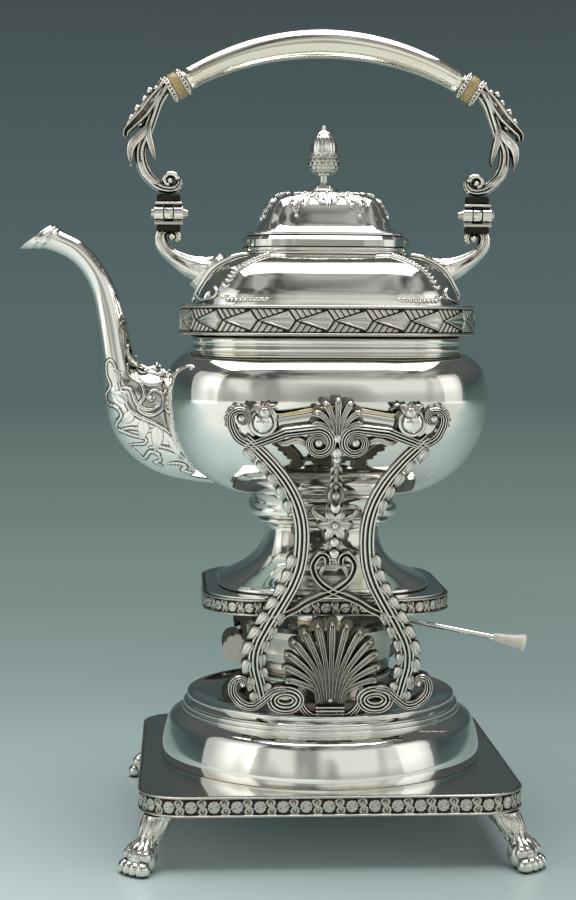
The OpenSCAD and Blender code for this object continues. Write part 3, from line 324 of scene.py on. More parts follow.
class Pieces:
    """Several meshes gathered into one object; place puts a drawn line on the surface that carries it."""

    def __init__(self, place=None):
        self.place = place
        self.verts, self.faces, self.tones, self.count = [], [], [], 0

    def add(self, verts, faces, tone=1.0):
        self.verts.append(verts)
        self.faces.extend((np.asarray(f) + self.count).tolist() for f in faces)
        self.tones.append(np.broadcast_to(tone, (len(verts),)))
        self.count += len(verts)

    def lay(self, path, width, height, form=ROUND, n=24):
        """Band of one form along a line on the surface."""
        t = np.linspace(0, 1, n)
        w, h = (f(t) if callable(f) else np.full(n, float(f)) for f in (width, height))
        p, normal = self.place(even(path, n))
        verts, faces = carried(p, across(frames(p), normal), normal, form, w, h)
        self.add(verts, faces, np.tile(np.clip(0.42 + 0.85 * form[:, 1], 0.42, 1), n))

    def line(self, points, width, height, form=ROUND, n=24, curve=6):
        self.lay(smooth(points, curve), width, height, form, n)

    def leaf(self, points, wide, height, n, lobes=0, curve=6):
        self.lay(smooth(points, curve), leaf_shape(wide, lobes), height, LEAF, n)

    def bead(self, at, r, high=None, n=7):
        """Ball that sits half in the surface."""
        p, normal = self.place(np.asarray([at, at], float))
        verts, faces = ball((0, 0, 0), (r, r, high or r), nu=n, nv=2 * n)
        up = normal[0] / np.linalg.norm(normal[0])
        a = np.cross(up, (0.3, 1, 0.2))
        a /= np.linalg.norm(a)
        self.add(verts @ np.stack([a, np.cross(up, a), up]) + p[0], faces)

    def bar(self, points, form, n=60, depth=1.0):
        """Round or fluted bar in the XZ plane; each point is [outwards, up, radius]."""
        p = even(smooth(points, 8), n)
        path = np.stack([p[:, 0], np.zeros(n), p[:, 1]], -1)
        deep = np.clip((np.hypot(form[:, 0], form[:, 1]) - 0.72) / 0.28, 0.2, 1)
        self.add(*sweep(path, (0, -1, 0), form, p[:, 2], p[:, 2] * depth), np.tile(deep, n))

    def turned(self, origin, axis, profile, segments=48, relief=None):
        """Turned form: profile of [distance along the axis, radius] about a line."""
        axis = np.asarray(axis, float) / np.linalg.norm(axis)
        a = np.cross(axis, (0, 1, 0.01))
        a /= np.linalg.norm(a)
        b = np.cross(axis, a)
        p, ang = np.asarray(profile, float), around(segments)
        r = p[:, 1, None] + (relief(p[:, 0, None], ang[None]) if relief else 0 * ang[None])
        verts = (np.asarray(origin, float) + p[:, 0, None, None] * axis
                 + r[..., None] * (np.cos(ang)[None, :, None] * a + np.sin(ang)[None, :, None] * b))
        self.add(verts.reshape(-1, 3), capped(len(p), segments))

    def block(self, half_x, half_y, z0, z1, edge=0.35, tone=0.3):
        """Block on the axis of the arm, with rounded edges, between two heights."""
        rows = []
        for inset, z in ((edge, z0), (0.3 * edge, z0 + 0.3 * edge), (0, z0 + edge), (0, z1 - edge),
                         (0.3 * edge, z1 - 0.3 * edge), (edge, z1)):
            x, y = half_x - inset, half_y - inset
            rows += [(-x + edge, -y, z), (x - edge, -y, z), (x, -y + edge, z), (x, y - edge, z),
                     (x - edge, y, z),
                     (-x + edge, y, z), (-x, y - edge, z), (-x, -y + edge, z)]
        self.add(np.array(rows), capped(6, 8), tone)

    def copy(self, matrix, shift=(0, 0, 0)):
        """The same pieces, turned or flipped and then moved."""
        twin = Pieces()
        twin.verts = [v @ np.asarray(matrix, float) + shift for v in self.verts]
        twin.faces = self.faces if np.linalg.det(matrix) > 0 else [f[::-1] for f in self.faces]
        twin.tones, twin.count = self.tones, self.count
        return twin

    def with_twin(self, axis):
        """These pieces and their mirror images on the other side of the middle."""
        twin, both = self.copy(flip(axis)), Pieces(self.place)
        both.verts, both.tones, both.count = self.verts + twin.verts, self.tones * 2, 2 * self.count
        both.faces = self.faces + [[i + self.count for i in f] for f in twin.faces]
        return both

    def object(self, name, material, body, replaces=None, slot="silver"):
        make(name, (np.concatenate(self.verts), self.faces, np.concatenate(self.tones)), material, body,
             replaces)


def flip(axis, sign=-1):
    """Matrix that mirrors one axis, or leaves all as they are for the sign 1."""
    matrix = np.eye(3)
    matrix[axis, axis] = sign
    return matrix


# Materials

def shader(name, **sockets):
    """New material's node tree and Principled shader, with plain values on the shader's sockets."""
    m = bpy.data.materials.new(name)
    m.use_nodes = True
    bsdf = m.node_tree.nodes["Principled BSDF"]
    for key, value in sockets.items():
        bsdf.inputs[key.replace("_", " ")].default_value = value
    return m.node_tree, bsdf


def node(tree, kind, inputs=(), **settings):
    """New node; inputs are (socket, value or output) pairs."""
    n = tree.nodes.new(kind)
    for key, value in settings.items():
        setattr(n, key, value)
    for key, value in inputs:
        if isinstance(value, bpy.types.NodeSocket):
            tree.links.new(value, n.inputs[key])
        else:
            n.inputs[key].default_value = value
    return n


def ramp(tree, factor, *stops):
    """Colour ramp through (position, value) stops."""
    r = node(tree, "ShaderNodeValToRGB", [(0, factor)])
    els = r.color_ramp.elements
    for i, (pos, value) in enumerate(stops):
        e = els[i] if i < 2 else els.new(pos)
        e.position = pos
        e.color = value if np.ndim(value) else (value, value, value, 1)
    return r.outputs[0]


def rise(tree, factor, low, high):
    return ramp(tree, factor, (low, 0.0), (high, 1.0))


def colour_mix(tree, factor, a, b):
    return node(tree, "ShaderNodeMix", [(0, factor), (6, a), (7, b)], data_type="RGBA").outputs[2]


def noise(tree, vector, scale, detail):
    return node(tree, "ShaderNodeTexNoise",
                [("Vector", vector), ("Scale", scale), ("Detail", detail)]).outputs[0]


def maths(tree, operation, *values):
    return node(tree, "ShaderNodeMath", enumerate(values), operation=operation).outputs[0]


def scaled(tree, vector, factors):
    return node(tree, "ShaderNodeVectorMath", [(0, vector), (1, factors)], operation="MULTIPLY").outputs[0]


def mapped(tree, value, low, high, to_low=0.0, to_high=1.0, kind="LINEAR"):
    return node(tree, "ShaderNodeMapRange", [(0, value), (1, low), (2, high), (3, to_low), (4, to_high)],
                interpolation_type=kind).outputs[0]


def coordinates(tree, kind="Object"):
    return node(tree, "ShaderNodeTexCoord").outputs[kind]


def cavities(tree, distance):
    return node(tree, "ShaderNodeAmbientOcclusion", [("Distance", distance * MM)], samples=6).outputs["AO"]


def finish_surface(tree, bsdf, colour, height, strength, distance):
    """Sets the colour, and a ripple too fine for geometry."""
    ripple = node(tree, "ShaderNodeBump", [("Strength", strength), ("Distance", distance),
                                           ("Height", height)])
    tree.links.new(colour, bsdf.inputs["Base Color"])
    tree.links.new(ripple.outputs[0], bsdf.inputs["Normal"])


# The black is partly the oxidation in the hollows and partly painted shade where ambient occlusion is dark.
OXIDATION_AND_SHADE_BLACK, TARNISH = (0.035, 0.03, 0.026, 1), (0.30, 0.235, 0.16, 1)
SILVERS = {  # colour, roughness, height of the black, reach of the recesses in mm, ripple
    "plain_silver": ((0.86, 0.86, 0.83), 0.06, 0.30, 3.0, 0.04),
    "grip_silver": ((0.90, 0.87, 0.76), 0.06, 0.30, 3.0, 0.04),
    "cast_silver": ((0.84, 0.83, 0.785), 0.16, 0.60, 2.2, 0.10),
    # Dark silver: painted shade in the gaps of the brackets' openwork and beside the spout's raised lines,
    # together with their oxidation.
    "shade_and_oxidation_silver": ((0.17, 0.16, 0.14), 0.34, 0.60, 2.0, 0.12),
    # Darker silver for the burner: painted shade, the shadow and occlusion the burner gets under the kettle.
    "painted_shade_silver": ((0.50, 0.485, 0.44), 0.16, 0.42, 3.0, 0.08),
    "spout_silver": ((0.86, 0.86, 0.83), 0.11, 0.46, 1.2, 0.05),
    "chased_silver": ((0.90, 0.89, 0.86), 0.13, 0.5, 1.0, 0.05),
    "band_silver": ((0.60, 0.59, 0.55), 0.22, 0.50, 1.2, 0.10),
    "gilt_metal": ((0.80, 0.66, 0.42), 0.15, 0.36, 2.0, 0.06)}


def silver(name, colour, rough, oxidation_and_shade_level, recess, ripple):
    """Polished silver, blackened in its recesses and where parts meet, with brown tarnish at the edge of the
    black: the black is oxidation in the hollows, and painted shade from ambient occlusion.
    """
    tree, bsdf = shader(name, Metallic=1.0)
    place = coordinates(tree)
    fine = noise(tree, place, 620.0, 3.0)
    r, g, b = colour
    tint = colour_mix(tree, rise(tree, noise(tree, place, 38.0, 5.0), 0.35, 0.75), (r, g, b, 1),
                      (r * 0.97, g * 0.94, b * 0.88, 1))
    shade = node(tree, "ShaderNodeAttribute", attribute_name="shade").outputs["Fac"]
    # Painted shade: ambient occlusion darkens recesses and the joins between parts towards the black, on top
    # of the oxidation of the hollows.
    open_part = maths(tree, "MULTIPLY", cavities(tree, recess), maths(tree, "SUBTRACT", 1.0, shade))
    depth = maths(tree, "ADD", open_part, maths(tree, "MULTIPLY", fine, 0.16))
    brown = colour_mix(tree, rise(tree, depth, oxidation_and_shade_level - 0.12, oxidation_and_shade_level + 0.06), OXIDATION_AND_SHADE_BLACK, TARNISH)
    dull = node(tree, "ShaderNodeMix", [(0, rise(tree, depth, oxidation_and_shade_level, oxidation_and_shade_level + 0.15)), (2, 0.5),
                                        (3, mapped(tree, fine, 0, 1, rough * 0.7, rough * 1.5))])
    tree.links.new(dull.outputs[0], bsdf.inputs["Roughness"])
    finish_surface(tree, bsdf, colour_mix(tree, rise(tree, depth, oxidation_and_shade_level, oxidation_and_shade_level + 0.2), brown, tint),
                   noise(tree, place, 55.0, 2.0), ripple, 0.002)


def ivory(name, pale, deep):
    """Polished ivory: fine grain lines across the rod, deeper in the joins."""
    tree, bsdf = shader(name, Roughness=0.24, Subsurface_Weight=0.12, Subsurface_Scale=0.002)
    place = coordinates(tree)
    grain = node(tree, "ShaderNodeTexWave", [("Vector", place), ("Scale", 260.0), ("Distortion", 6.0),
                                             ("Detail", 3.0)]).outputs[0]
    lines = colour_mix(tree, ramp(tree, grain, (0.2, 0.0), (0.95, 0.35)), pale, deep)
    body = colour_mix(tree, ramp(tree, noise(tree, place, 190.0, 4.0), (0.4, 0.0), (0.72, 0.6)), lines, deep)
    dark = (deep[0] * 0.35, deep[1] * 0.3, deep[2] * 0.25, 1)
    finish_surface(tree, bsdf, colour_mix(tree, rise(tree, cavities(tree, 1.5), 0.3, 0.8), dark, body),
                   grain,
                   0.06, 0.0005)


def cotton():
    """Woven cotton, burnt in places."""
    tree, bsdf = shader("cotton", Roughness=0.95, Sheen_Weight=0.3)
    place = coordinates(tree)
    weave = node(tree, "ShaderNodeTexVoronoi", [("Vector", place), ("Scale", 900.0)]).outputs[0]
    finish_surface(tree, bsdf, colour_mix(tree, rise(tree, noise(tree, place, 160.0, 4.0), 0.45, 0.7),
                                          (0.78, 0.70, 0.55, 1), (0.16, 0.12, 0.09, 1)), weave, 0.6, 0.0006)


FINISH = {"silver": "plain_silver", "oxidised_silver": "band_silver", "gilt": "gilt_metal",
          "ivory": "knob_ivory",
          "wick": "cotton"}
# The brackets' flat webs take the dark silver: painted shade in the gaps between the relief, with oxidation.
OWN_FINISH = {"paw_": "cast_silver", "bracket_front": "shade_and_oxidation_silver", "bracket_back": "shade_and_oxidation_silver",
              "handle_arm": "cast_silver", "socket_": "cast_silver", "spout": "cast_silver",
              # The burner takes the darker silver of painted shade.
              "hanger_": "plain_silver", "burner_": "painted_shade_silver"}


def materials():
    """Makes the materials and gives each node of the frame its own."""
    for name, look in SILVERS.items():
        silver(name, *look)
    ivory("ring_ivory", (0.48, 0.385, 0.18, 1), (0.30, 0.205, 0.085, 1))
    ivory("knob_ivory", (0.90, 0.86, 0.78, 1), (0.80, 0.73, 0.62, 1))
    cotton()
    for part in frame["record"]["subparts"]:
        name = FINISH[part["material_slot"]]
        for start, own in OWN_FINISH.items():
            if part["node"].startswith(start):
                name = own
        data = frame["nodes"][part["node"]].data
        data.materials.clear()
        data.materials.append(bpy.data.materials[name])


# Smooth raised bodies

def ring(outer, inner):
    """Profile up the outside and down the inside."""
    return np.concatenate([outer, inner[::-1]])


def round_step(r, z0, z1, out, n=7):
    """Rounded moulding that stands out from radius r between two heights."""
    a = np.linspace(-math.pi / 2, math.pi / 2, n)
    return [(r + out * math.cos(t), (z0 + z1) / 2 + (z1 - z0) / 2 * math.sin(t)) for t in a]


def bowl():
    up, down, foot = levels(pin_z, bowl_top), levels(pin_z, 2 * pin_z - bowl_low), waist_half - 1
    lower = [(mix(floor_half, bowl_half, a), down(b) if b < 0 else up(b))
             for a, b in ((0, -1), (0.315, -0.905), (0.67, -0.653), (0.914, -0.26), (0.99, 0.06), (1, 0.28))]
    upper = [(mix(foot, bowl_half, a), up(b))
             for a, b in ((0.93, 0.475), (0.78, 0.605), (0.46, 0.725), (0.14, 0.785))]
    outer = np.concatenate([[(0.01, bowl_low), (floor_half - 2, bowl_low)], smooth(lower + upper, 12),
                            round_step(mix(foot, bowl_half, 0.04), up(0.795), up(0.865), 0.8),
                            round_step(mix(foot, bowl_half, 0.03), up(0.89), up(0.985), 0.9),
                            [(foot, bowl_top)]])
    inner = np.maximum(outer - [wall + 0.8, 0], [0.01, bowl_low + wall])
    make("bowl_skin", cushion(ring(outer, inner), bowl_core), "plain_silver", "kettle", "kettle_bowl")


def shoulder_side():
    up = levels(bowl_top, neck_low)
    return smooth([(mix(neck_half, waist_half, a), up(b))
                   for a, b in ((1, 0), (1, 0.2), (0.995, 0.34), (0.965, 0.45), (0.895, 0.585),
                                (0.69, 0.805),
                                (0.385, 0.94), (0.15, 0.985), (0, 1))], 8)


def shoulder():
    outer = shoulder_side()
    inner = np.maximum(outer - [wall + 1, 0], [neck_half - 4, 0])
    inner[:, 1] -= wall * np.clip((inner[:, 1] - bowl_top) / 8, 0, 1)
    make("shoulder_skin", cushion(ring(outer, inner), bowl_core), "plain_silver", "kettle",
         "kettle_shoulder")


def neck():
    up = levels(neck_low, neck_top)
    outer = ([(neck_half - 1.2, neck_low)] + round_step(neck_half - 0.8, neck_low, up(0.54), 0.8)
             + [(neck_half - 0.9, up(0.57)), (neck_half - 0.5, up(0.66)), (neck_half - 0.5, up(0.95)),
                (neck_half - 0.9, neck_top)])
    inner = [(neck_half - 4, neck_low), (neck_half - 4, neck_top)]
    make("neck_moulding", cushion(ring(outer, inner), lid_core, loop=True), "plain_silver", "kettle",
         "neck_ring")


def dome():
    up, stepped = levels(plate_top, disc_top), disc_r + 0.2 * (dome_r - disc_r)
    ogee = smooth([(dome_r - 0.3, up(0.0)), (dome_r, up(0.12)), (mix(stepped, dome_r, 0.92), up(0.28)),
                   (mix(stepped, dome_r, 0.74), up(0.49)), (mix(stepped, dome_r, 0.52), up(0.64)),
                   (stepped, up(0.725))], 8)
    rims = (round_step(stepped - 0.7, up(0.735), up(0.79), 0.7)
            + round_step(disc_r + 0.9, up(0.8), up(0.86), 0.8)
            + [(disc_r - 0.6, up(0.868)), (disc_r - 0.6, up(0.93))]
            + round_step(disc_r - 0.8, up(0.935), disc_top, 0.8))
    top = [(disc_r - 3, disc_top - 0.1), (disc_r - 3.4, disc_top - 0.5), (disc_r - 12, disc_top - 0.45),
           (0.01, disc_top - 0.3)]
    make("dome_skin", lathe([(0.01, plate_top + 0.05)] + ogee.tolist() + rims + top, 256), "plain_silver",
         "stand",
         "base_dome")


def pedestal():
    up, inside = levels(plinth_top, bowl_low), stem_half - 2.5
    foot = round_step(flare_half - 0.8, plinth_top, up(0.05), 0.8)
    flare = smooth([(mix(stem_half, flare_half, a), up(b))
                    for a, b in ((0.95, 0.06), (0.84, 0.08), (0.53, 0.16), (0.24, 0.28), (0.07, 0.43),
                                 (0, 0.6),
                                 (0.03, 0.66))], 8)
    rings = (round_step(stem_half + 3.4, up(0.675), up(0.735), 1.4)
             + round_step(stem_half + 7.4, up(0.75), up(0.87), 1.4)
             + [(stem_half + 6.8, up(0.89)), (stem_half + 6.8, bowl_low)])
    inner = [(flare_half - 4, plinth_top), (flare_half - 4, up(0.02)),
             (mix(inside, flare_half, 0.35), up(0.13)),
             (inside, up(0.4)), (inside, bowl_low)]
    make("pedestal_skin", cushion(ring(foot + flare.tolist() + rings, inner), pedestal_core, loop=True),
         "plain_silver", "kettle", "pedestal")


def lid_side():
    up = levels(lid_low, lid_top)
    return smooth([(mix(lid_core + 2, lid_half - 7, a), up(b))
                   for a, b in ((1.02, 0.3), (0.93, 0.375), (0.865, 0.45), (0.755, 0.6), (0.6, 0.765),
                                (0.44, 0.87), (0.22, 0.945), (-0.15, 0.985), (-0.6, 1.0))], 8)


def lid():
    up, flange, inside = levels(lid_low, lid_top), neck_half - 4.6, lid_half - 8
    rim = ([(flange - wall, lid_low - 2.0), (flange, lid_low - 2.0), (flange, lid_low)]
           + round_step(lid_half - 1, lid_low, up(0.125), 1)
           + [(lid_half - 1.7, up(0.15)), (lid_half - 1.7, up(0.18)), (flange - wall, up(0.18))])
    make("lid_rim_moulding", cushion(rim, lid_core, loop=True), "plain_silver", "lid")
    side, ceiling = lid_side(), lid_top - 2 * wall
    outer = ([(inside, up(0.18))] + round_step(lid_half - 2.9, up(0.185), up(0.27), 0.9)
             + [(lid_half - 4.6, up(0.285))] + side.tolist() + [(0.01, lid_top)])
    under = np.maximum(np.minimum(side[::-6] - [wall, 0], [np.inf, ceiling]), 0.01)
    inner = [(0.01, ceiling)] + under.tolist() + [(inside - wall, up(0.18))]
    make("lid_skin", cushion(outer + inner, lid_core), "plain_silver", "lid", "lid_shell")


# Ornamental strips

def two_ridges(v, height, ridge):
    return bump(v, ridge / 2, ridge) + bump(v, height - ridge / 2, ridge)


def rosette_relief(height, pitch, ridge):
    """Oval rosettes and pairs of small scrolls in turn, between two ridges."""
    def relief(s, v, length):
        p = length / round(length / pitch)
        x = (s + p / 2) % p - p / 2
        y, room = v - height / 2, height / 2 - ridge
        u, w = (x + 0.22 * p) / (0.30 * p), y / (0.93 * room)
        rho, leaning = np.hypot(u, w), w - 0.3 * u
        petals = 0.93 + 0.07 * np.cos(11 * np.arctan2(w, u))
        veins = np.cos(5 * (np.abs(leaning) * 3.2 - 1.2 * u))
        rosette = (1 - step(rho, 0.86 * petals, 0.12)) * (
            0.62 + 0.24 * (1 - rho ** 2) + 0.10 * veins * step(0.85 - rho, 0, 0.2)
            - 0.30 * bell(leaning, 0.0, 0.09) * step(0.8 - rho, 0, 0.3) + 0.12 * bell(rho, 0.8, 0.07))
        motif = np.maximum(rosette, 0.5 * bell(x - 0.27 * p + 0.35 * y, 0, 0.05 * p)
                           * (np.abs(y) < 0.5 * room))
        for cx, cy, turn in ((0.24, 0.50, 1), (0.30, -0.50, -1)):
            a, b = x - cx * p, y - cy * room
            r = np.hypot(a, b)
            arm = 0.155 * p * (1 + 0.10 * np.arctan2(b, a) * turn / math.pi)
            motif = np.maximum(motif, 0.62 * bell(r, arm, 0.055 * p) + 0.55 * bell(r, 0, 0.06 * p))
        motif = motif * step(room - np.abs(y), 0, 0.25)
        edge = two_ridges(v, height, ridge)
        groove = bell(v, ridge + 0.35, 0.22) + bell(v, height - ridge - 0.35, 0.22)
        return (0.9 * edge + 0.75 * motif * (edge <= 0),
                np.clip(0.24 + 0.86 * motif + edge * 2 - 0.15 * groove, 0, 1))
    return relief


def kite_relief(height, pitch, ridge):
    """Overlapping kite leaves that point left, with slanting strokes above and below them."""
    def relief(s, v, length):
        p = length / round(length / pitch)
        x, y, room = s % p, np.abs(v - height / 2), height / 2 - ridge - 0.25
        cx, cy = 0.82 * p, room * 0.9
        inside = np.minimum((cy * x - cx * y) / np.hypot(cx, cy),
                            ((p - x) * cy - (p - cx) * y) / np.hypot(p - cx, cy))
        fan_lines = np.cos(34 * np.arctan2(y, x + 1.5)) * step(inside, 0.9, 0.5)
        kite = step(inside, 0.0, 0.3) * (0.55 + 0.35 * (x / p) + 0.35 * bell(inside, 0.55, 0.34) * (y > 0.2)
                                         + 0.09 * fan_lines - 0.12 * step(inside, 0.8, 0.4))
        slant = (x + y * (p - cx) / cy) % p
        strokes = np.max([bump(slant, c * p, 0.16 * p) for c in (0.09, 0.26, 0.43, 0.60, 0.77)], axis=0)
        strokes = strokes * (0.8 - 0.25 * slant / p) * step(-inside, 0.1, 0.3) * step(room - y, -0.1, 0.35)
        motif, edge = np.maximum(kite, strokes), two_ridges(v, height, ridge)
        return (np.where(edge > 0, 0.4 + edge, motif),
                np.clip(0.26 + 0.8 * motif - 0.12 * bell(inside, 0.0, 0.25) + 2 * (edge > 0), 0, 1))
    return relief


def strips():
    base_h, plinth_h = plate_top - base_low, highest("plinth_border", Z) - plinth_low
    for name, node_name, body, shape in (
            ("base_rosettes", "base_border", "stand",
             (base_half, base_corner, base_low, base_h, 0.95, rosette_relief(base_h, 9.8, 1.3), 52, 0.28,
              1.8)),
            ("plinth_rosettes", "plinth_border", "kettle",
             (plinth_half, plinth_corner, plinth_low, plinth_h, 0.95, rosette_relief(plinth_h, 8.6, 1.0),
              42, 0.28,
              1.8)),
            ("leaf_band", "leaf_border", "kettle",
             (leaf_out, leaf_out - bowl_core, bowl_top, leaf_h, 1.4, kite_relief(leaf_h, 16.6, 1.5), 76,
              0.26,
              leaf_out - waist_half + 0.4))):
        make(name, band(*shape), "band_silver", body, node_name)


# Brackets, drawn with x across and v up the sloping face

pin_v = (pin_z - disc_top) / math.cos(bracket_lean)


def on_bracket(path):
    """Places a drawing on the front bracket's outer face."""
    s, c = math.sin(bracket_lean), math.cos(bracket_lean)
    w = web_t + 0.2
    p = np.stack([path[:, 0], -bracket_foot_y - path[:, 1] * s - w * c, disc_top + path[:, 1] * c - w * s],
                 -1)
    return p, np.broadcast_to((0, -c, -s), p.shape)


def at(x, v):
    return np.array([x * pin_x, v * pin_v])


def spots(*pairs):
    return [at(*pair) for pair in pairs]


def beside(c, *steps, unit=1.0):
    return [c + unit * np.array(s) for s in steps]


def near(c, *steps):
    return beside(c, *steps, unit=pin_x)


outer_eye, inner_eye, foot_eye = spots((1.285, 1.022), (0.248, 0.943), (0.628, 0.062))
RAIL = np.concatenate([spiral(outer_eye, 0.035 * pin_x, 0.15 * pin_x, 310, -310),
                       smooth(near(outer_eye, (0.14, -0.1), (0.05, -0.27), (-0.13, -0.36))
                              + near(inner_eye, (0.72, 0.03), (0.45, 0.14)), 8),
                       spiral(inner_eye, 0.2 * pin_x, 0.08 * pin_x, 70, 480, 40)])
LEG = smooth(spots((1.24, .957), (0.93, .885), (0.67, .806), (0.511, .727), (0.446, .646), (0.467, .547),
                   (0.556, .474), (0.69, .41), (0.88, .329), (1.03, .253), (1.06, .188), (1, .119),
                   (0.94, .06)), 8)
HEART = smooth(spots((-0.09, .535), (-0.1, .56), (-0.19, .569), (-0.29, .532), (-0.22, .484), (-0.05, .449),
                     (0.15, .428), (0.36, .405), (0.52, .38), (0.84, .345)), 8)
FOOT = smooth(near(foot_eye, (0, .17), (0.16, .14), (0.3, .02), (0.46, -.09), (0.63, -.03), (0.74, .12),
                   (0.72, .29),
                   (0.6, .33), (0.56, .23)), 8)


def husks(b, line, shares, offset, length, lean, wide):
    """Small overlapping leaves along one side of a line."""
    line = even(line, 200)
    edge, h = aside(line, offset), frames(line)
    for i in (int(share * 199) for share in shares):
        out = np.array([-h[i, 1], h[i, 0]]) * math.copysign(1, offset)
        start = edge[i] - out * 0.9
        b.leaf([start, start + 0.5 * length * h[i] + out * 0.35 * lean * length,
                start + length * h[i] * 0.85 + out * lean * length], wide, taper(3.2, 1.8, 0.6), 12, curve=5)


def fan(b, c, count, spread, length, fall, wide, high):
    """Fan of hollowed petals with curled tips, the middle one the longest."""
    half = (count - 1) / 2
    for k in sorted(np.arange(-half, half + 1), key=lambda q: -abs(q)):
        curl, long = polar(90 - spread * 1.9 * k), length - fall * k * k
        tip = c + long * polar(90 - spread * k)
        b.line([c + [0.95 * k, 0], c + 0.5 * long * polar(90 - 0.8 * spread * k), tip, tip + 2.6 * curl],
               lambda t: wide * (0.42 + 0.55 * t - 0.3 * step(t, 0.9, 0.1)),
               taper(0.9 * high, 1.2 * high, 0.25 * (half - abs(k)) / half), PETAL, 18)
        b.bead(tip + 2.4 * curl, 0.82 * wide, 1.25 * high)


def bracket_side():
    """Everything on the right half of the front bracket."""
    b = Pieces(on_bracket)
    b.lay(LEG, taper(2.6, 3.0, 0.6), 2.6, BROAD_RIDGES, 90)
    b.lay(HEART, taper(1.3, 1.6), 2.3, TWO_RIDGES, 60)
    b.lay(RAIL, taper(1.2, 1.2, 1.1), 2.8, BROAD_RIDGES, 130)
    b.lay(FOOT, taper(1.7, 1.4, 0.6), 3.0, BROAD_RIDGES, 50)
    b.lay(spiral(foot_eye, 0.18 * pin_x, 0.18 * pin_x, 0, 360, 40, 0.72), 2.9, 2.8, BROAD_RIDGES, 48)
    for eye, r in ((outer_eye, 2.2), (inner_eye, 2.3), (near(foot_eye, (0.6, 0.25))[0], 2.0)):
        b.bead(eye, r, 3.0, 9)
    for start, end, *leaves in ((0.03, 0.30, 3.5, 8.2, 0.36, 2.9), (0.46, 0.97, 3.5, 8.6, 0.30, 3.0),
                                (0.66, 0.95, -3.4, 7.8, 0.28, 2.6)):
        husks(b, LEG, np.arange(start, end, 0.056), *leaves)
    # Collar round the pin's head, with leaves beside it
    b.turned((pin_x, pin_tip_y + 2.9, pin_z), (0, -1, 0),
             [(-1.2, 4.4), (-1.2, 5.9), (-0.1, 5.9), (0.15, 5.5), (0.2, 4.9), (0.1, 4.5), (-0.1, 4.4)], 40)
    for a in range(-70, 100, 24):
        b.leaf(beside(outer_eye, 4.4 * polar(a), 6.9 * polar(a) + [0.6, -0.8]), 1.9, 1.9, 8)
    b.leaf(near(inner_eye, (0.12, -0.04), (0.3, 0.03), (0.48, -0.02), (0.62, 0.07)), 2.0, 1.8, 20, 3)
    # Leaf and knob over the pin
    top = at(1.0, 1.0) + [-0.6, 4.0]
    for lean in (-1.6, 0, 1.6):
        b.leaf(beside(top, (0, 0), (lean * 1.3, 2.8), (lean * 3.0, 6.0 - abs(lean) * 0.8)), 2.4, 2.8, 10,
               curve=5)
    b.bead(top + [0, 1.4], 3.0, 3.4, 9)
    # Leaves of the flower between the legs
    b.leaf(beside(at(0, 0.70), (0.6, -1.4), (4.2, -1.9), (8.2, 0.2), (9.6, 3.0), (8.2, 4.4)), 1.7, 1.9, 22,
           4)
    b.leaf(beside(at(0, 0.70), (0.6, 1.0), (2.8, 2.2), (3.6, 5.0)), 1.4, 1.9, 12)
    for dx, dz in ((3.4, 1.6), (3.6, -1.6), (2.0, -4.0)):
        b.leaf(beside(at(0, 0.61), (0, 0), (dx * 0.6, dz * 0.2), (dx, dz)), 1.3, 1.7, 10, curve=5)
    b.leaf(spots((0.06, 0.54), (0.16, 0.515), (0.2, 0.485), (0.1, 0.46)), 1.1, 1.6, 14)
    for v in (0.865, 0.84, 0.815):
        b.leaf(spots((0.0, v), (0.055, v - 0.012), (0.075, v - 0.028)), 1.0, 1.8, 8, curve=1)
    # Scroll at the base of the large palmette
    b.line(spots((0.06, 0.02), (0.22, 0.0), (0.38, 0.03), (0.44, 0.09), (0.37, 0.12)), taper(1.5, 0.8, 0.4),
           2.0,
           THREE_RIDGES, 26)
    return b


def brackets():
    b = bracket_side().with_twin(X)
    fan(b, at(0, 0.96), 7, 17, 0.44 * pin_x, 0.5, 1.6, 2.2)
    b.bead(at(0, 0.958), 2.6, 2.8, 9)
    fan(b, at(0, 0.045), 13, 9.2, 1.14 * pin_x, 0.42, 1.55, 2.6)
    b.lay(spots((-0.2, 0.022), (0.2, 0.022)), 2.4, 2.4, THREE_RIDGES, 8)
    for v, r in ((0.06, 1.9), (0.57, 2.7), (0.61, 2.6), (0.725, 2.9), (0.765, 3.6), (0.795, 1.8),
                 (0.91, 2.9),
                 (0.885, 2.0)):
        b.bead(at(0, v), r, 2.4, 9)
    for lean in (-1, 0, 1):
        b.leaf([at(0, 0.735), at(0, 0.765) + [2.4 * lean, 0], at(0, 0.8) + [1.2 * lean, 0]], 1.3, 3.4, 12,
               curve=5)
    for k in range(6):
        b.leaf(beside(at(0, 0.668), (0, 0), 8.0 * polar(60 * k)), 3.1, 2.4, 16, 3)
    b.bead(at(0, 0.668), 2.0, 3.8, 9)
    b.lay(spots((0, 0.91), (0, 0.79)), taper(1.5, 0.9), 2.0, LEAF, 16)
    b.object("bracket_relief_front", "cast_silver", "stand")
    b.copy(flip(Y)).object("bracket_relief_back", "cast_silver", "stand")


# Handle: arms, rings and grip, with x measured outwards from the hinge

def on_plane(y, side):
    """Places a drawing in [outwards, up] on a plane in front of or behind the arm."""
    def place(path):
        p = np.stack([path[:, 0], np.full(len(path), y * side), path[:, 1]], -1)
        return p, np.broadcast_to((0.0, float(side), 0.0), p.shape)
    return place


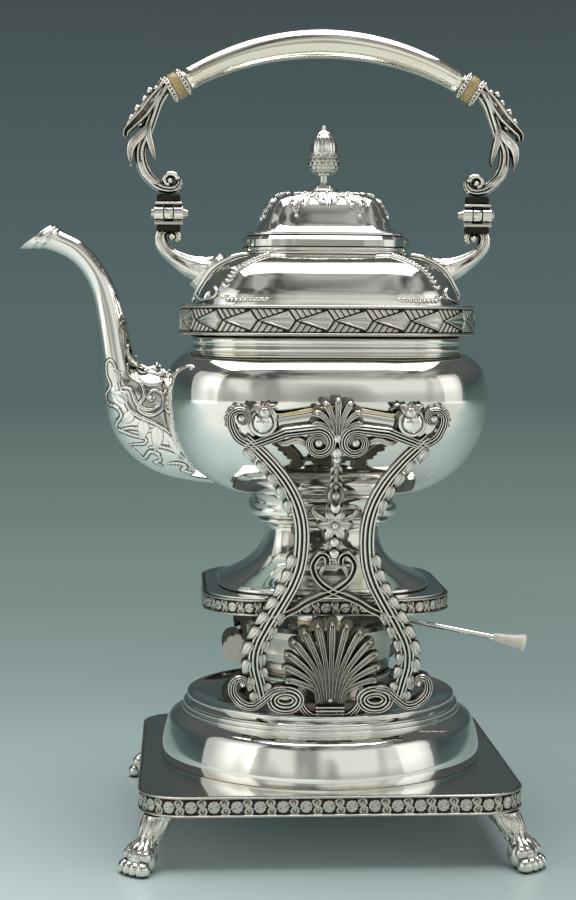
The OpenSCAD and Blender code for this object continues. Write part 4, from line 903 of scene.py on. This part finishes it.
def arm():
    """Sculpted arm above the hinge."""
    b = Pieces()
    b.bar([(-3.2, 17.4, 1.3), (-4.9, 14.4, 1.7), (-2.1, 11.4, 2.1), (3.9, 12.3, 2.5), (9.4, 17.0, 2.8),
           (12.1, 22.4, 2.9), (12.6, 28.8, 2.8), (10.4, 35.2, 2.7), (7.4, 44.3, 2.9), (5.0, 51.6, 3.3),
           (1.6, 57.6, 4.0), (0.6, 58.9, 4.3)], FLUTED, 90, 1.15)
    for side in (-1, 1):
        b.place = on_plane(2.2, side)
        b.lay(spiral((-0.6, 14.8), 3.9, 1.755, 170, -250, 40), taper(1.5, 0.9), 1.9, ROUND, 40)
    b.add(*ball((-0.6, 0, 14.8), (1.9, 4.4, 1.9), 12, 18))
    for side in (-1, 1):
        # Blade inside the arm, the hanging outer leaf, and the hood from the ring to its tip
        b.place = on_plane(2.0, side)
        b.leaf([(8.6, 41.0), (9.2, 36.0), (8.0, 30.7), (6.4, 25.0), (6.9, 22.8)], 1.7, 2.2, 34, curve=8)
        b.leaf([(8.8, 40.0), (12.6, 35.6), (16.2, 32.0), (17.6, 27.6), (17.2, 21.6)], 2.5, 2.4, 34, curve=8)
        b.line([(1.0, 58.2), (6.4, 52.4), (11.6, 45.4), (16.6, 40.2), (19.3, 37.2), (19.6, 34.6)],
               taper(1.8, 1.1, 1.0), 2.8, TWO_RIDGES, 40, 8)
        for (x, z), r in (((5.6, 56.6), 1.5), ((8.6, 55.6), 1.7), ((10.8, 51.8), 1.7), ((14.2, 47.6), 1.8),
                          ((16.9, 43.2), 1.7)):
            b.place = on_plane(1.2, side)
            b.leaf([(x - 4.0, z - 3.2), (x - 1.8, z - 1.6), (x, z)], 1.7, 2.4, 10, curve=5)
            b.place = on_plane(1.6, side)
            b.bead((x, z), r, 1.9)
        b.place = on_plane(2.0, side)
        b.leaf([(12.4, 24.0), (11.2, 18.8), (7.0, 14.6), (2.0, 12.8)], 1.9, 2.0, 26, curve=8)
        b.place = on_plane(3.0, side)
        b.leaf([(2.4, 57.6), (4.6, 53.0), (7.2, 46.4)], 1.6, 1.4, 18, curve=8)
    b.bar([(2.4, 57.4, 2.6), (8.2, 51.4, 3.0), (13.2, 45.6, 2.8), (17.4, 40.4, 2.4), (19.4, 36.4, 1.2),
           (19.5, 34.4, 0.5)], PLAIN_ROUND, 40)
    b.bar([(9.0, 39.0, 1.4), (13.0, 35.4, 1.9), (16.4, 31.6, 1.7), (17.5, 26.6, 1.2), (17.2, 21.4, 0.4)],
          PLAIN_ROUND, 30)
    b.add(*ball((13.0, 0, 40.4), (1.6, 3.4, 1.6), 10, 16))
    # Knuckle and the blocks over it
    b.turned((-2.1, 0, 0), (1, 0, 0), [(0, 0.2), (0, 3.3), (0.3, 3.75), (1.9, 3.6), (2.3, 3.6), (3.9, 3.75),
                                       (4.2, 3.3), (4.2, 0.2)])
    b.block(2.1, 1.9, 0.0, 4.6)
    b.block(6.3, 3.3, 4.1, 5.2, tone=1.0)
    b.block(5.4, 3.2, 5.1, 8.9, 1.3)
    return b


def arch(a, extra=0.0):
    """Point on the grip's arch at angle a from the top, moved on along the tangent."""
    return np.array([grip_arch * math.sin(a) + extra * math.cos(a), 0,
                     arch_z + grip_arch * math.cos(a) - extra * math.sin(a)])


def at_radius(*steps):
    """Profile of [distance, radius less the ivory's radius]."""
    return [(d, ivory_r - r) for d, r in steps]


def beaded_rings(axis):
    """Silver rings with beads, on both sides of the right ivory ring."""
    b = Pieces()
    for extra in (0, ring_t + ivory_t):
        b.turned(arch(grip_end, extra), axis,
                 [(0, 3.5)] + at_radius((0, 0.9), (0.15, 0.4), (0.5, 0.2), (0.85, 0.5), (1.0, 0.9),
                                        (1.6, 0.9),
                                        (1.75, 0.4), (2.1, 0.1), (2.45, 0.4), (ring_t, 0.8))
                                        + [(ring_t, 3.5)], 56)
        for t in around(22):
            out = math.cos(t) * np.cross(axis, (0, 1, 0)) + math.sin(t) * np.array([0, 1, 0])
            b.add(*ball(arch(grip_end, extra + ring_t / 2) + (ivory_r - 0.5) * out, (0.72, 0.72, 0.72), 6,
                        8))
    return b


def handle():
    right, axis = arm(), np.array([math.cos(grip_end), 0, -math.sin(grip_end)])
    for sign, name in SIDES:
        b = right.copy(flip(X, sign), (sign * hinge_x, 0, hinge_z))
        b.object("arm_" + name, "cast_silver", "handle", "handle_arm_" + name)
    beaded_rings(axis).with_twin(X).object("beaded_rings", "cast_silver", "handle", "grip_collars")
    for sign, name in SIDES:
        b = Pieces()
        b.turned(arch(grip_end, ring_t) * [sign, 1, 1], axis * [sign, 1, 1],
                 [(0, 0.5)] + at_radius((0, 0.5), (0.25, 0.15), (0.8, 0), (ivory_t / 2, 0.1),
                                        (ivory_t - 0.8, 0),
                                        (ivory_t - 0.25, 0.15), (ivory_t, 0.5)) + [(ivory_t, 0.5)], 64)
        b.object("ivory_ring_" + name, "ring_ivory", "handle", "ivory_" + name, "ivory")
    a = np.linspace(-grip_end, grip_end, 97)
    share = np.abs(a) / grip_end
    r = (grip_r * (1 - 0.3 * share ** 1.6) + 0.35 * bell(share, 0.955, 0.012)
         + 0.25 * bell(share, 0.925, 0.01))
    path = np.stack([grip_arch * np.sin(a), 0 * a, arch_z + grip_arch * np.cos(a)], -1)
    make("grip_tube", sweep(path, (0, -1, 0), fluted(1, 0.0), r, r), "grip_silver", "handle", "grip")


# Spout: its sections as [outer edge x, z, inner edge x, z, half width], in shares of reach, rise and root

SPOUT = smooth([(1, .866, .773, 1, .37), (.89, .872, .73, .982, .36), (.795, .863, .685, .96, .31),
                (.667, .821, .564, .91, .28), (.568, .748, .448, .815, .29), (.503, .645, .347, .685, .32),
                (.464, .488, .267, .505, .39), (.438, .32, .217, .333, .47), (.418, .14, .159, .223, .59),
                (.388, -.029, .03, .236, .76), (.315, -.158, -.076, .209, .9),
                (.189, -.263, -.182, .157, .99),
                (.008, -.34, -.318, .07, 1), (-.205, -.377, -.439, -.023, .97),
                (-.36, -.391, -.515, -.116, .89)], 6)
# Leaf edges and veins on the spout, as [x, z] seen from the side
SPOUT_LINES = (
    [(-93.2, 211.3), (-95.5, 212.2), (-96.4, 215.4), (-98.6, 217.3), (-100.2, 215.4), (-99.8, 209.9),
     (-98.2, 205.4),
     (-100.2, 201.7), (-99.6, 197.6), (-96.4, 196.2), (-94.1, 194.4), (-93.2, 191.6), (-95.5, 188.2),
     (-95.0, 185.6),
     (-91.8, 184.3), (-89.1, 183.3), (-85.4, 182.4), (-81.8, 181.5), (-82.7, 179.2), (-87.3, 178.7),
     (-89.4, 178.3)],
    [(-89.4, 178.0), (-86.4, 175.4), (-82.9, 172.0), (-80.0, 175.4), (-76.3, 174.4), (-75.4, 171.2),
     (-78.1, 170.6),
     (-73.5, 168.5)],
    [(-72.0, 169.8), (-67.1, 170.3), (-63.4, 168.6), (-65.2, 167.0), (-59.8, 165.4)],
    [(-94.4, 207.9), (-92.6, 201.9), (-89.0, 194.6), (-84.4, 191.5), (-78.9, 189.2), (-73.5, 186.4),
     (-70.3, 183.7)],
    [(-93.6, 185.4), (-88.1, 186.3), (-80.8, 185.4), (-73.5, 186.3)],
    [(-80.8, 177.1), (-75.3, 178.1), (-68.9, 176.2), (-64.3, 172.5)],
    [(-90.3, 215.6), (-89.4, 210.2), (-83.9, 206.5), (-82.6, 201.1), (-85.3, 195.6), (-79.9, 192.4),
     (-74.4, 195.6),
     (-73.9, 201.1), (-78.0, 203.8), (-81.2, 201.1), (-79.4, 198.8), (-78.0, 200.6)],
    [(-93.5, 204.7), (-88.9, 203.8), (-85.8, 197.4), (-80.8, 194.7), (-76.2, 196.5)],
    [(-73.9, 207.4), (-73.0, 200.1), (-72.1, 191.9), (-68.9, 183.6), (-62.5, 174.5), (-55.4, 165.5)])


def spout_ring(q, swell, s):
    """Points round the spout at angles s from its outer edge; swell adds to its wall."""
    o, i = (np.array([-mix(bowl_half, spout_reach, q[k]), spout_rise * q[k + 1]]) for k in (0, 2))
    c, a = (o + i) / 2, np.linalg.norm(o - i) / 2
    u = (o - i) / (2 * a)
    return np.stack([c[0] + u[0] * (a + swell) * np.cos(s), -(spout_root * q[4] + swell) * np.sin(s),
                     pin_z + c[1] + u[1] * (a + swell) * np.cos(s)], -1)


def on_spout():
    """Places a side view, drawn in [x, z], on the spout's near side."""
    s = np.linspace(0.04, math.pi - 0.04, 160)
    p = np.stack([spout_ring(q, 0.0, s) for q in even(SPOUT, 260)])
    normal = np.cross(np.gradient(p, axis=1), np.gradient(p, axis=0))
    normal *= np.sign(-normal[:, 80:81, 1:2])
    normal /= np.linalg.norm(normal, axis=2)[..., None]
    flat, flat_n = p.reshape(-1, 3), normal.reshape(-1, 3)

    def place(path):
        nearest = [int(np.argmin((flat[:, 0] - x) ** 2 + (flat[:, 2] - z) ** 2)) for x, z in path]
        q = flat[nearest].copy()
        close = np.hypot(q[:, 0] - path[:, 0], q[:, 2] - path[:, 1]) < 1.5
        q[:, 0] = np.where(close, path[:, 0], q[:, 0])
        q[:, 2] = np.where(close, path[:, 1], q[:, 2])
        return q, flat_n[nearest]
    return place


def spout():
    t, s = np.linspace(0, 1, len(SPOUT)), around(96)
    swell = 0.75 * bump(t, 0.05, 0.03) + 0.65 * bump(t, 0.09, 0.025)
    rows = ([spout_ring(q, -1.3, s) for q in SPOUT[:40:4]][::-1]
            + [spout_ring(q, w, s) for q, w in zip(SPOUT, swell)])
    make("spout_skin", (np.concatenate(rows), capped(len(rows), 96)), "plain_silver", "kettle", "spout")

    b, recesses = Pieces(on_spout()), Pieces(on_spout())
    for line in SPOUT_LINES:
        b.line(line, taper(0.42, 0.42, 0.4), taper(0.24, 0.22, 0.2), ROUND, 8 * len(line))
        # Dark ribbons a little wider than the raised lines: painted shade and oxidation along their feet.
        recesses.line(line, taper(0.95, 0.95, 0.5), 0.08, ROUND, 8 * len(line))
    recesses.with_twin(Y).object("spout_recesses", "shade_and_oxidation_silver", "kettle")
    # Low lobes between the main vein and the outer edge
    for root, tip, wide in (((-90.5, 198.0), (-97.6, 202.6), 3.0), ((-88.0, 193.6), (-93.0, 188.6), 3.0),
                            ((-83.0, 190.4), (-84.5, 181.0), 3.2), ((-77.0, 187.8), (-77.6, 175.4), 3.2),
                            ((-71.0, 183.2), (-66.6, 172.2), 2.8), ((-94.6, 207.0), (-97.8, 214.0), 1.8)):
        b.leaf([root, mix(np.array(root), np.array(tip), 0.5) + [0.8, 0.3], tip], wide, 0.75, 14, curve=5)
    # Leaves of the collar that grips the spout where it meets the bowl
    for line, wide in (([(-73.6, 209.8), (-79.0, 211.6), (-85.0, 213.6), (-89.8, 218.6), (-90.8, 224.0)],
                        1.7),
                       ([(-73.4, 207.6), (-77.6, 206.4), (-82.0, 206.8), (-85.6, 210.0)], 1.6),
                       ([(-72.8, 210.6), (-76.6, 214.6), (-81.4, 216.2), (-84.6, 219.6)], 1.5)):
        b.leaf(line, wide, 1.3, 26, 4)
    b.bead((-79.9, 200.3), 1.0, 0.9)
    b.with_twin(Y).object("spout_leaves", "spout_silver", "kettle")


# Lid and shoulder: sprays and trails laid on the smooth bodies

def on_cushion(profile, core):
    """Places [angle in degrees from the front, share of the way up] on a cushion's side."""
    along = np.concatenate([[0], np.cumsum(np.linalg.norm(np.diff(profile, axis=0), axis=1))])

    def point(angle, share):
        half, z = (np.interp(share, along / along[-1], profile[:, k]) for k in (0, 1))
        return np.stack([*squircle(half, core, np.radians(angle - 90)), z], -1)

    def place(path):
        a, u = path[:, 0], np.clip(path[:, 1], 0.01, 0.99)
        normal = np.cross(point(a + 0.3, u) - point(a - 0.3, u), point(a, u + 0.01) - point(a, u - 0.01))
        return point(a, u), normal / np.linalg.norm(normal, axis=1)[:, None]
    return place


def lid_sprays():
    b = Pieces(on_cushion(lid_side(), lid_core))
    for turn in (0, 90, 180, 270):
        for sign in (-1, 1):
            def q(*pairs):
                return [(turn + sign * (a - 7 * step(a, 18, 12)), share) for a, share in pairs]
            # Spray that hangs beside the corner
            b.leaf(q((33, .62), (35, .48), (36, .36), (34, .24)), 2.7, 1.4, 30, 5)
            b.leaf(q((33, .56), (40, .50), (42, .42), (40, .34)), 2.1, 1.2, 22, 3)
            b.leaf(q((33, .56), (28, .48), (27, .40), (30, .33)), 2.1, 1.2, 22, 3)
            b.line(q((31, .60), (23, .57), (20, .49), (23, .43), (26, .47)), taper(.7, .45, .3), 0.9, n=26)
            # Garland along the edge of the top
            b.line(q((31, .64), (24, .69), (16, .63), (8, .69), (1, .64)), taper(.65, .5, .2), 0.8, n=36)
            b.line(q((35, .64), (40, .69), (45, .64)), taper(.65, .5, .2), 0.8, n=16)
            for a, share in ((28, .58), (23, .76), (19, .55), (13, .75), (9, .57), (5, .75), (38, .76)):
                b.leaf(q((a - 2.5, .66), (a - 1, mix(.66, share, 0.6)), (a + 1.5, share)), 1.5, 0.95, 12,
                       curve=4)
            for spot in q((25, .47), (34, .22), (21, .60), (12, .60)):
                b.bead(spot, 0.95, 1.2, 6)
            # Half of the spray in the middle of the side
            b.leaf(q((1, .62), (6, .55), (8, .46), (4, .40)), 2.1, 1.2, 20, 3)
            b.line(q((2, .64), (10, .59), (13, .52), (9, .48)), taper(.7, .4, .3), 0.9, n=20)
            b.bead(q((9.5, .49))[0], 0.9, 1.0, 6)
            for x, y in (polar(60 * k) for k in range(6)):
                b.leaf(q((33, .63), (33 + 5 * x, .63 + .07 * y)), 1.2, 1.1, 7)
            b.bead(q((33, .63))[0], 1.1, 1.5)
        b.leaf([(turn, .64), (turn + 0.4, .46), (turn, .32)], 2.5, 1.3, 24, 5)
        for x, y in (polar(60 * k) for k in range(6)):
            b.leaf([(turn, .64), (turn + 5.4 * x, .64 + .07 * y)], 1.2, 1.1, 7)
        b.bead((turn, .64), 1.2, 1.6)
    b.object("lid_sprays", "chased_silver", "lid")


def shoulder_trails():
    b = Pieces(on_cushion(shoulder_side(), bowl_core))
    for turn in (0, 180):
        for sign in (-1, 1):
            def q(*pairs):
                return [(turn + sign * a, share) for a, share in pairs]
            down = even(smooth(q((33, .88), (37, .74), (40.5, .58), (42.5, .44), (42, .34)), 8), 17)
            along = even(smooth(q((40, .318), (36, .315), (31, .315), (27, .316)), 8), 9)
            for line, size in ((down, 1.35), (along, 1.15)):
                for k, (angle, share) in enumerate(line):
                    r = size * (1 - 0.45 * k / len(line))
                    b.bead((angle, share), r, 1.1 * r, 6)
                    for way in (-1, 1):
                        b.leaf([(angle, share), (angle + way * sign * 2.2, share + 0.022)], 0.8, 0.8, 6)
            b.leaf(q((33, .88), (28, .885), (24, .86)), 1.2, 0.9, 16, 3)
            # Straps that cross the foot of the arm
            b.line(q((45, .93), (51, .80), (57, .64), (61, .48), (66, .32)), 1.5, 1.3, TWO_RIDGES, 40, 8)
            b.line(q((64, .36), (57, .315), (50, .32), (45, .37), (47.5, .44)), taper(1.1, .7), 1.2, ROUND,
                   30, 8)
    b.object("shoulder_trails", "chased_silver", "kettle")


# Acorn on the lid, on its disc

def acorn():
    foot, r = lowest("acorn_cup", Z), highest("acorn_cup", X)
    h = highest("acorn_cup", Z) - foot

    def scales(d, a, rows=5, columns=11):
        v = d / h * rows
        u = np.abs((a / TAU * columns + 0.5 * (np.floor(v) % 2)) % 1 - 0.5) * 2
        up = 1 - (v - np.floor(v))
        edge = np.clip(1.15 - u ** 2 - 0.9 * (1 - up) ** 2, 0, 1)
        return 0.8 * np.sqrt(edge) * (0.35 + 0.65 * up) - 0.42
    b = Pieces()
    b.turned((0, 0, foot), (0, 0, 1), smooth([(0, 0.42 * r), (0.03 * h, 0.6 * r), (0.14 * h, 0.76 * r),
                                              (0.38 * h, 0.92 * r), (0.7 * h, 0.965 * r),
                                              (0.95 * h, 0.93 * r)], 14),
             208, scales)
    b.turned((0, 0, foot), (0, 0, 1), [(0.9 * h, 0.8 * r), (0.9 * h, 0.93 * r), (0.97 * h, 0.96 * r),
                                       (h, 0.9 * r),
                                       (0.96 * h, 0.8 * r)], 96)
    b.turned((0, 0, lid_top - 0.6), (0, 0, 1),
             smooth([(0, 9.4), (0.7, 9.5), (1.2, 8.8), (1.8, 7.2), (2.9, 6.3), (3.6, 4.6), (4.0, 4.2)], 6),
             96)
    b.object("acorn_scales", "band_silver", "lid", "acorn_cup")

    foot, r = lowest("acorn_nut", Z), highest("acorn_nut", X)
    tall = highest("acorn_nut", Z) - foot
    b = Pieces()
    b.turned((0, 0, foot), (0, 0, 1),
             smooth([(a * tall, c * r) for a, c in ((0, 0.95), (0.25, 1), (0.42, 0.955), (0.6, 0.8),
                                                    (0.75, 0.54),
                                                    (0.84, 0.28), (0.88, 0.15), (0.93, 0.17), (0.97, 0.14),
                                                    (1, 0.02))], 8), 144,
             lambda d, a: -0.28 * np.abs(np.cos(7 * a)) ** 6
             * np.clip(1 - np.abs(d / tall - 0.5) * 2.2, 0, 1))
    b.object("acorn_top", "plain_silver", "lid", "acorn_nut")


# Sockets: the horns below the hinges

def socket_horns():
    b = Pieces()
    b.bar([(-3.2, -12.9, 1.0), (-4.4, -10.4, 1.4), (-2.4, -7.2, 1.7), (1.6, -7.6, 2.0), (3.4, -10.6, 2.3),
           (2.3, -15.0, 2.8), (-1.5, -19.4, 3.4), (-7.6, -22.9, 4.5), (-13.0, -25.2, 6.0),
           (-17.6, -27.2, 8.8)],
          fluted(6, 0.13), 80, 1.05)
    b.add(*ball((-1.4, 0, -10.6), (1.9, 3.9, 1.9), 12, 18))
    b.block(5.4, 3.4, -8.6, -5.3, 0.9)
    for side in (-1, 1):
        b.place = on_plane(2.1, side)
        b.leaf([(2.6, -8.2), (3.7, -11.4), (2.4, -15.6), (-1.6, -19.8), (-7.6, -23.0)], 1.5, 2.0, 34,
               curve=8)
        b.place = on_plane(3.6, side)
        b.line([(-3.0, -18.4), (-7.6, -20.8), (-12.6, -22.6)], taper(0.9, 0.5), 1.2, curve=8)
    for sign, name in SIDES:
        b.copy(flip(X, sign), (sign * hinge_x, 0, hinge_z)).object("horn_" + name, "cast_silver", "kettle")


# Paws

def tube(b, path, radii, n=18):
    """Round bar along a path in space."""
    r = np.interp(np.linspace(0, 1, n), np.linspace(0, 1, len(radii)), radii)
    b.add(*sweep(even(smooth(path, 6), n), (0, 0, 1), THIN_ROUND, r, r))


def paw_dressing():
    """Sinews, claws and leaves of the paw that reaches along +X."""
    b, x = Pieces(), math.sqrt(2) * paw_reach
    for k in (-1.5, -0.5, 0.5, 1.5):
        tube(b, [(x - 9.4, 1.3 * k, 21.5), (x - 4.6, 1.35 * k, 16.2), (x - 1.6, 2.1 * k, 12.2),
                 (x + 1.8 - 0.6 * abs(k), 3.1 * k, 10.0), (x + 4.2 - 0.6 * abs(k), 3.3 * k, 7.6)],
             [0.9, 1.0, 1.3, 1.9, 1.4])
        toe = x + 0.3 * paw_w - 0.8 * abs(k)
        tube(b, [(toe + 1.6, 3.35 * k, 4.6), (toe + 2.7, 3.4 * k, 3.0), (toe + 2.9, 3.4 * k, 0.7)],
             [1.3, 1.1, 0.3],
             n=8)
        b.add(*ball((toe - 0.2, 3.4 * k, 3.3), (3.3, 1.9, 3.0)))
    for row, (reach, drop, wide) in enumerate(((5.0, 10.6, 1.9), (6.2, 7.2, 2.0))):
        for phi in np.linspace(-150, 150, 9) + 16 * row:
            c, s = polar(phi)
            top = np.array([x - 12.0 + 5.4 * c, 5.4 * s, 23.3])
            low = np.array([x - 12.0 + 0.62 * drop + reach * 0.72 * c, reach * 0.72 * s, 23.3 - drop])
            b.place = lambda p, c=c, s=s: (p, np.broadcast_to((c, s, 0.25), p.shape))
            b.leaf([top, mix(top, low, 0.55) + 0.5 * np.array([c, s, 0]), low,
                    low + [0.9 * c, 0.9 * s, -1.0]],
                   wide, 1.25, 14, curve=5)
    return b


def paws():
    right = paw_dressing()
    for name, turn in (("front_left", 225), ("front_right", 315), ("back_left", 135), ("back_right", 45)):
        c, s = polar(turn)
        right.copy([[c, s, 0], [-s, c, 0], [0, 0, 1]]).object("paw_dressing_" + name, "cast_silver", "stand")


# Hangers: a rounded bar on the front of each, with its gilt upper edge

def hangers():
    line = pin_x * smooth([(-0.8, -0.01), (-0.3, 0.07), (0, 0.1), (0.3, 0.07), (0.8, -0.01)], 10)
    face = lowest("hanger_front", Y) - 0.05

    def place(path):
        p = np.stack([path[:, 0], np.full(len(path), face), pin_z + path[:, 1]], -1)
        return p, np.broadcast_to((0.0, -1.0, 0.0), p.shape)
    for name, up, wide, high, material, slot in (("hanger_bars", -0.6, 2.4, 0.2, "plain_silver", "silver"),
                                                 ("hanger_gilding", 2.6, 0.8, 0.22, "gilt_metal", "gilt")):
        b = Pieces(place)
        b.lay(line + [0, up], wide, high, ROUND, 60)
        b.with_twin(Y).object(name, material, "kettle", slot=slot)


# Camera, floor and light

SMOOTH = "SMOOTHSTEP"
# The backdrop's colours, from the floor in front of the stand to the top of the picture
SWEEP = ((-0.9, (0.74, 0.77, 0.73, 1)), (-0.3, (0.74, 0.78, 0.75, 1)), (-0.12, (0.50, 0.60, 0.60, 1)),
         (0.08, (0.37, 0.465, 0.465, 1)), (0.28, (0.285, 0.37, 0.365, 1)), (0.67, (0.2, 0.275, 0.25, 1)),
         (1.26, (0.155, 0.215, 0.2, 1)), (2.34, (0.125, 0.175, 0.165, 1)), (4.0, (0.095, 0.138, 0.138, 1)))


def link_object(name, data):
    obj = bpy.data.objects.new(name, data)
    bpy.context.scene.collection.objects.link(obj)
    return obj


def camera():
    """Camera fitted to the photo: tipped down, turned and rolled by small angles."""
    cam = link_object("camera", bpy.data.cameras.new("camera"))
    cam.data.lens, cam.data.sensor_width = 73.8, 36
    cam.location = (-0.066, -0.8587, 0.2401)
    pitch, yaw, roll = math.radians(4.31), math.radians(3.32), math.radians(0.31)
    cam.rotation_mode = "XYZ"
    cam.rotation_euler = (math.pi / 2 - pitch, -roll, -yaw)
    bpy.context.scene.camera = cam


def lamps():
    for name, place, size, power in (("top_box", (0.0, 0.1, 1.9), (1.9, 1.5), 34),
                                     ("left_box", (-1.7, -0.5, 0.8), (1.5, 1.6), 3.5),
                                     ("right_box", (1.8, -0.7, 0.75), (1.0, 1.4), 1.6)):
        lamp = bpy.data.lights.new(name, "AREA")
        lamp.shape, lamp.energy = "RECTANGLE", power
        lamp.size, lamp.size_y = size
        obj = link_object(name, lamp)
        obj.location = place
        obj.rotation_euler = (Vector((0, 0, 0.2)) - Vector(place)).to_track_quat("-Z", "Y").to_euler()


def floor():
    """Floor that turns into its own backdrop far away, lit by itself there."""
    tree, bsdf = shader("floor", Roughness=0.32, Specular_IOR_Level=0.4)
    place = coordinates(tree)
    xyz = node(tree, "ShaderNodeSeparateXYZ", [(0, place)]).outputs
    near_y, far_y = SWEEP[0][0], SWEEP[-1][0]
    sweep_colour = ramp(tree, mapped(tree, xyz[1], near_y, far_y),
                        *[((y - near_y) / (far_y - near_y), c) for y, c in SWEEP])
    # Painted light: the floor colour is made up to 30% lighter to the left of the stand, growing towards the
    # front.
    painted_light_gain = maths(tree, "MULTIPLY_ADD", mapped(tree, xyz[0], 0.12, -0.16, kind=SMOOTH),
                 mapped(tree, xyz[1], 0.75, -0.1, 0.0, 0.3), 1.0)
    colour_with_painted_light = node(tree, "ShaderNodeVectorMath", [(0, sweep_colour), (3, painted_light_gain)], operation="SCALE").outputs[0]
    away = node(tree, "ShaderNodeVectorMath", [(0, place)], operation="LENGTH").outputs["Value"]
    tree.links.new(colour_with_painted_light, bsdf.inputs["Base Color"])
    glow = node(tree, "ShaderNodeEmission", [("Color", colour_with_painted_light), ("Strength", 1.0)]).outputs[0]
    blend = node(tree, "ShaderNodeMixShader", [(0, mapped(tree, away, 0.25, 0.9, kind=SMOOTH)),
                                               (1, bsdf.outputs[0]),
                                               (2, glow)])
    tree.links.new(blend.outputs[0], tree.nodes["Material Output"].inputs["Surface"])
    verts, faces = lathe([(0.01, 0), (300, 0), (1200, 0), (9000, 0)], 96)
    mesh = bpy.data.meshes.new("floor")
    mesh.from_pydata([tuple(v) for v in verts * MM], [], faces.tolist())
    mesh.materials.append(bpy.data.materials["floor"])
    link_object("floor", mesh)


def room():
    """World: a slate backdrop behind, and in front the walls and ceiling that the silver mirrors."""
    world = bpy.data.worlds.new("studio")
    bpy.context.scene.world = world
    world.use_nodes = True
    tree = world.node_tree
    tree.nodes.clear()
    place = coordinates(tree, "Generated")
    xyz = node(tree, "ShaderNodeSeparateXYZ", [(0, place)]).outputs
    slate = ramp(tree, mapped(tree, xyz[2], 0.0, 0.5), (0.0, SWEEP[-1][1]), (0.17, (0.074, 0.109, 0.112, 1)),
                 (0.33, (0.058, 0.078, 0.082, 1)), (1.0, (0.10, 0.11, 0.11, 1)))
    pale = ramp(tree, xyz[2], (0.0, (0.50, 0.52, 0.47, 1)), (0.09, (0.57, 0.59, 0.54, 1)),
                (0.2, (0.84, 0.84, 0.81, 1)))
    bars = noise(tree, scaled(tree, place, (2.6, 2.6, 0.35)), 1.0, 1.0)
    wall_colour = colour_mix(tree, rise(tree, bars, 0.36, 0.5), (0.34, 0.35, 0.33, 1), pale)
    streaks = noise(tree, scaled(tree, place, (5.5, 3.0, 1.0)), 1.0, 1.5)
    ceiling = colour_mix(tree, rise(tree, streaks, 0.40, 0.62), (0.09, 0.09, 0.088, 1),
                         (0.46, 0.46, 0.45, 1))
    front = colour_mix(tree, rise(tree, xyz[2], 0.42, 0.54), wall_colour, ceiling)
    mirrored = colour_mix(tree, mapped(tree, xyz[1], 0.05, -0.35, kind=SMOOTH), slate, front)
    camera_ray = node(tree, "ShaderNodeLightPath").outputs["Is Camera Ray"]
    back = node(tree, "ShaderNodeBackground", [("Color", colour_mix(tree, camera_ray, mirrored, slate)),
                                               ("Strength", 1.0)])
    tree.links.new(back.outputs[0], node(tree, "ShaderNodeOutputWorld").inputs["Surface"])


for build in (materials, bowl, shoulder, neck, dome, pedestal, lid, strips, handle, brackets, spout,
              lid_sprays,
              shoulder_trails, acorn, socket_horns, paws, hangers, camera, floor, room, lamps):
    build()

bpy.context.scene.view_settings.view_transform = "Standard"
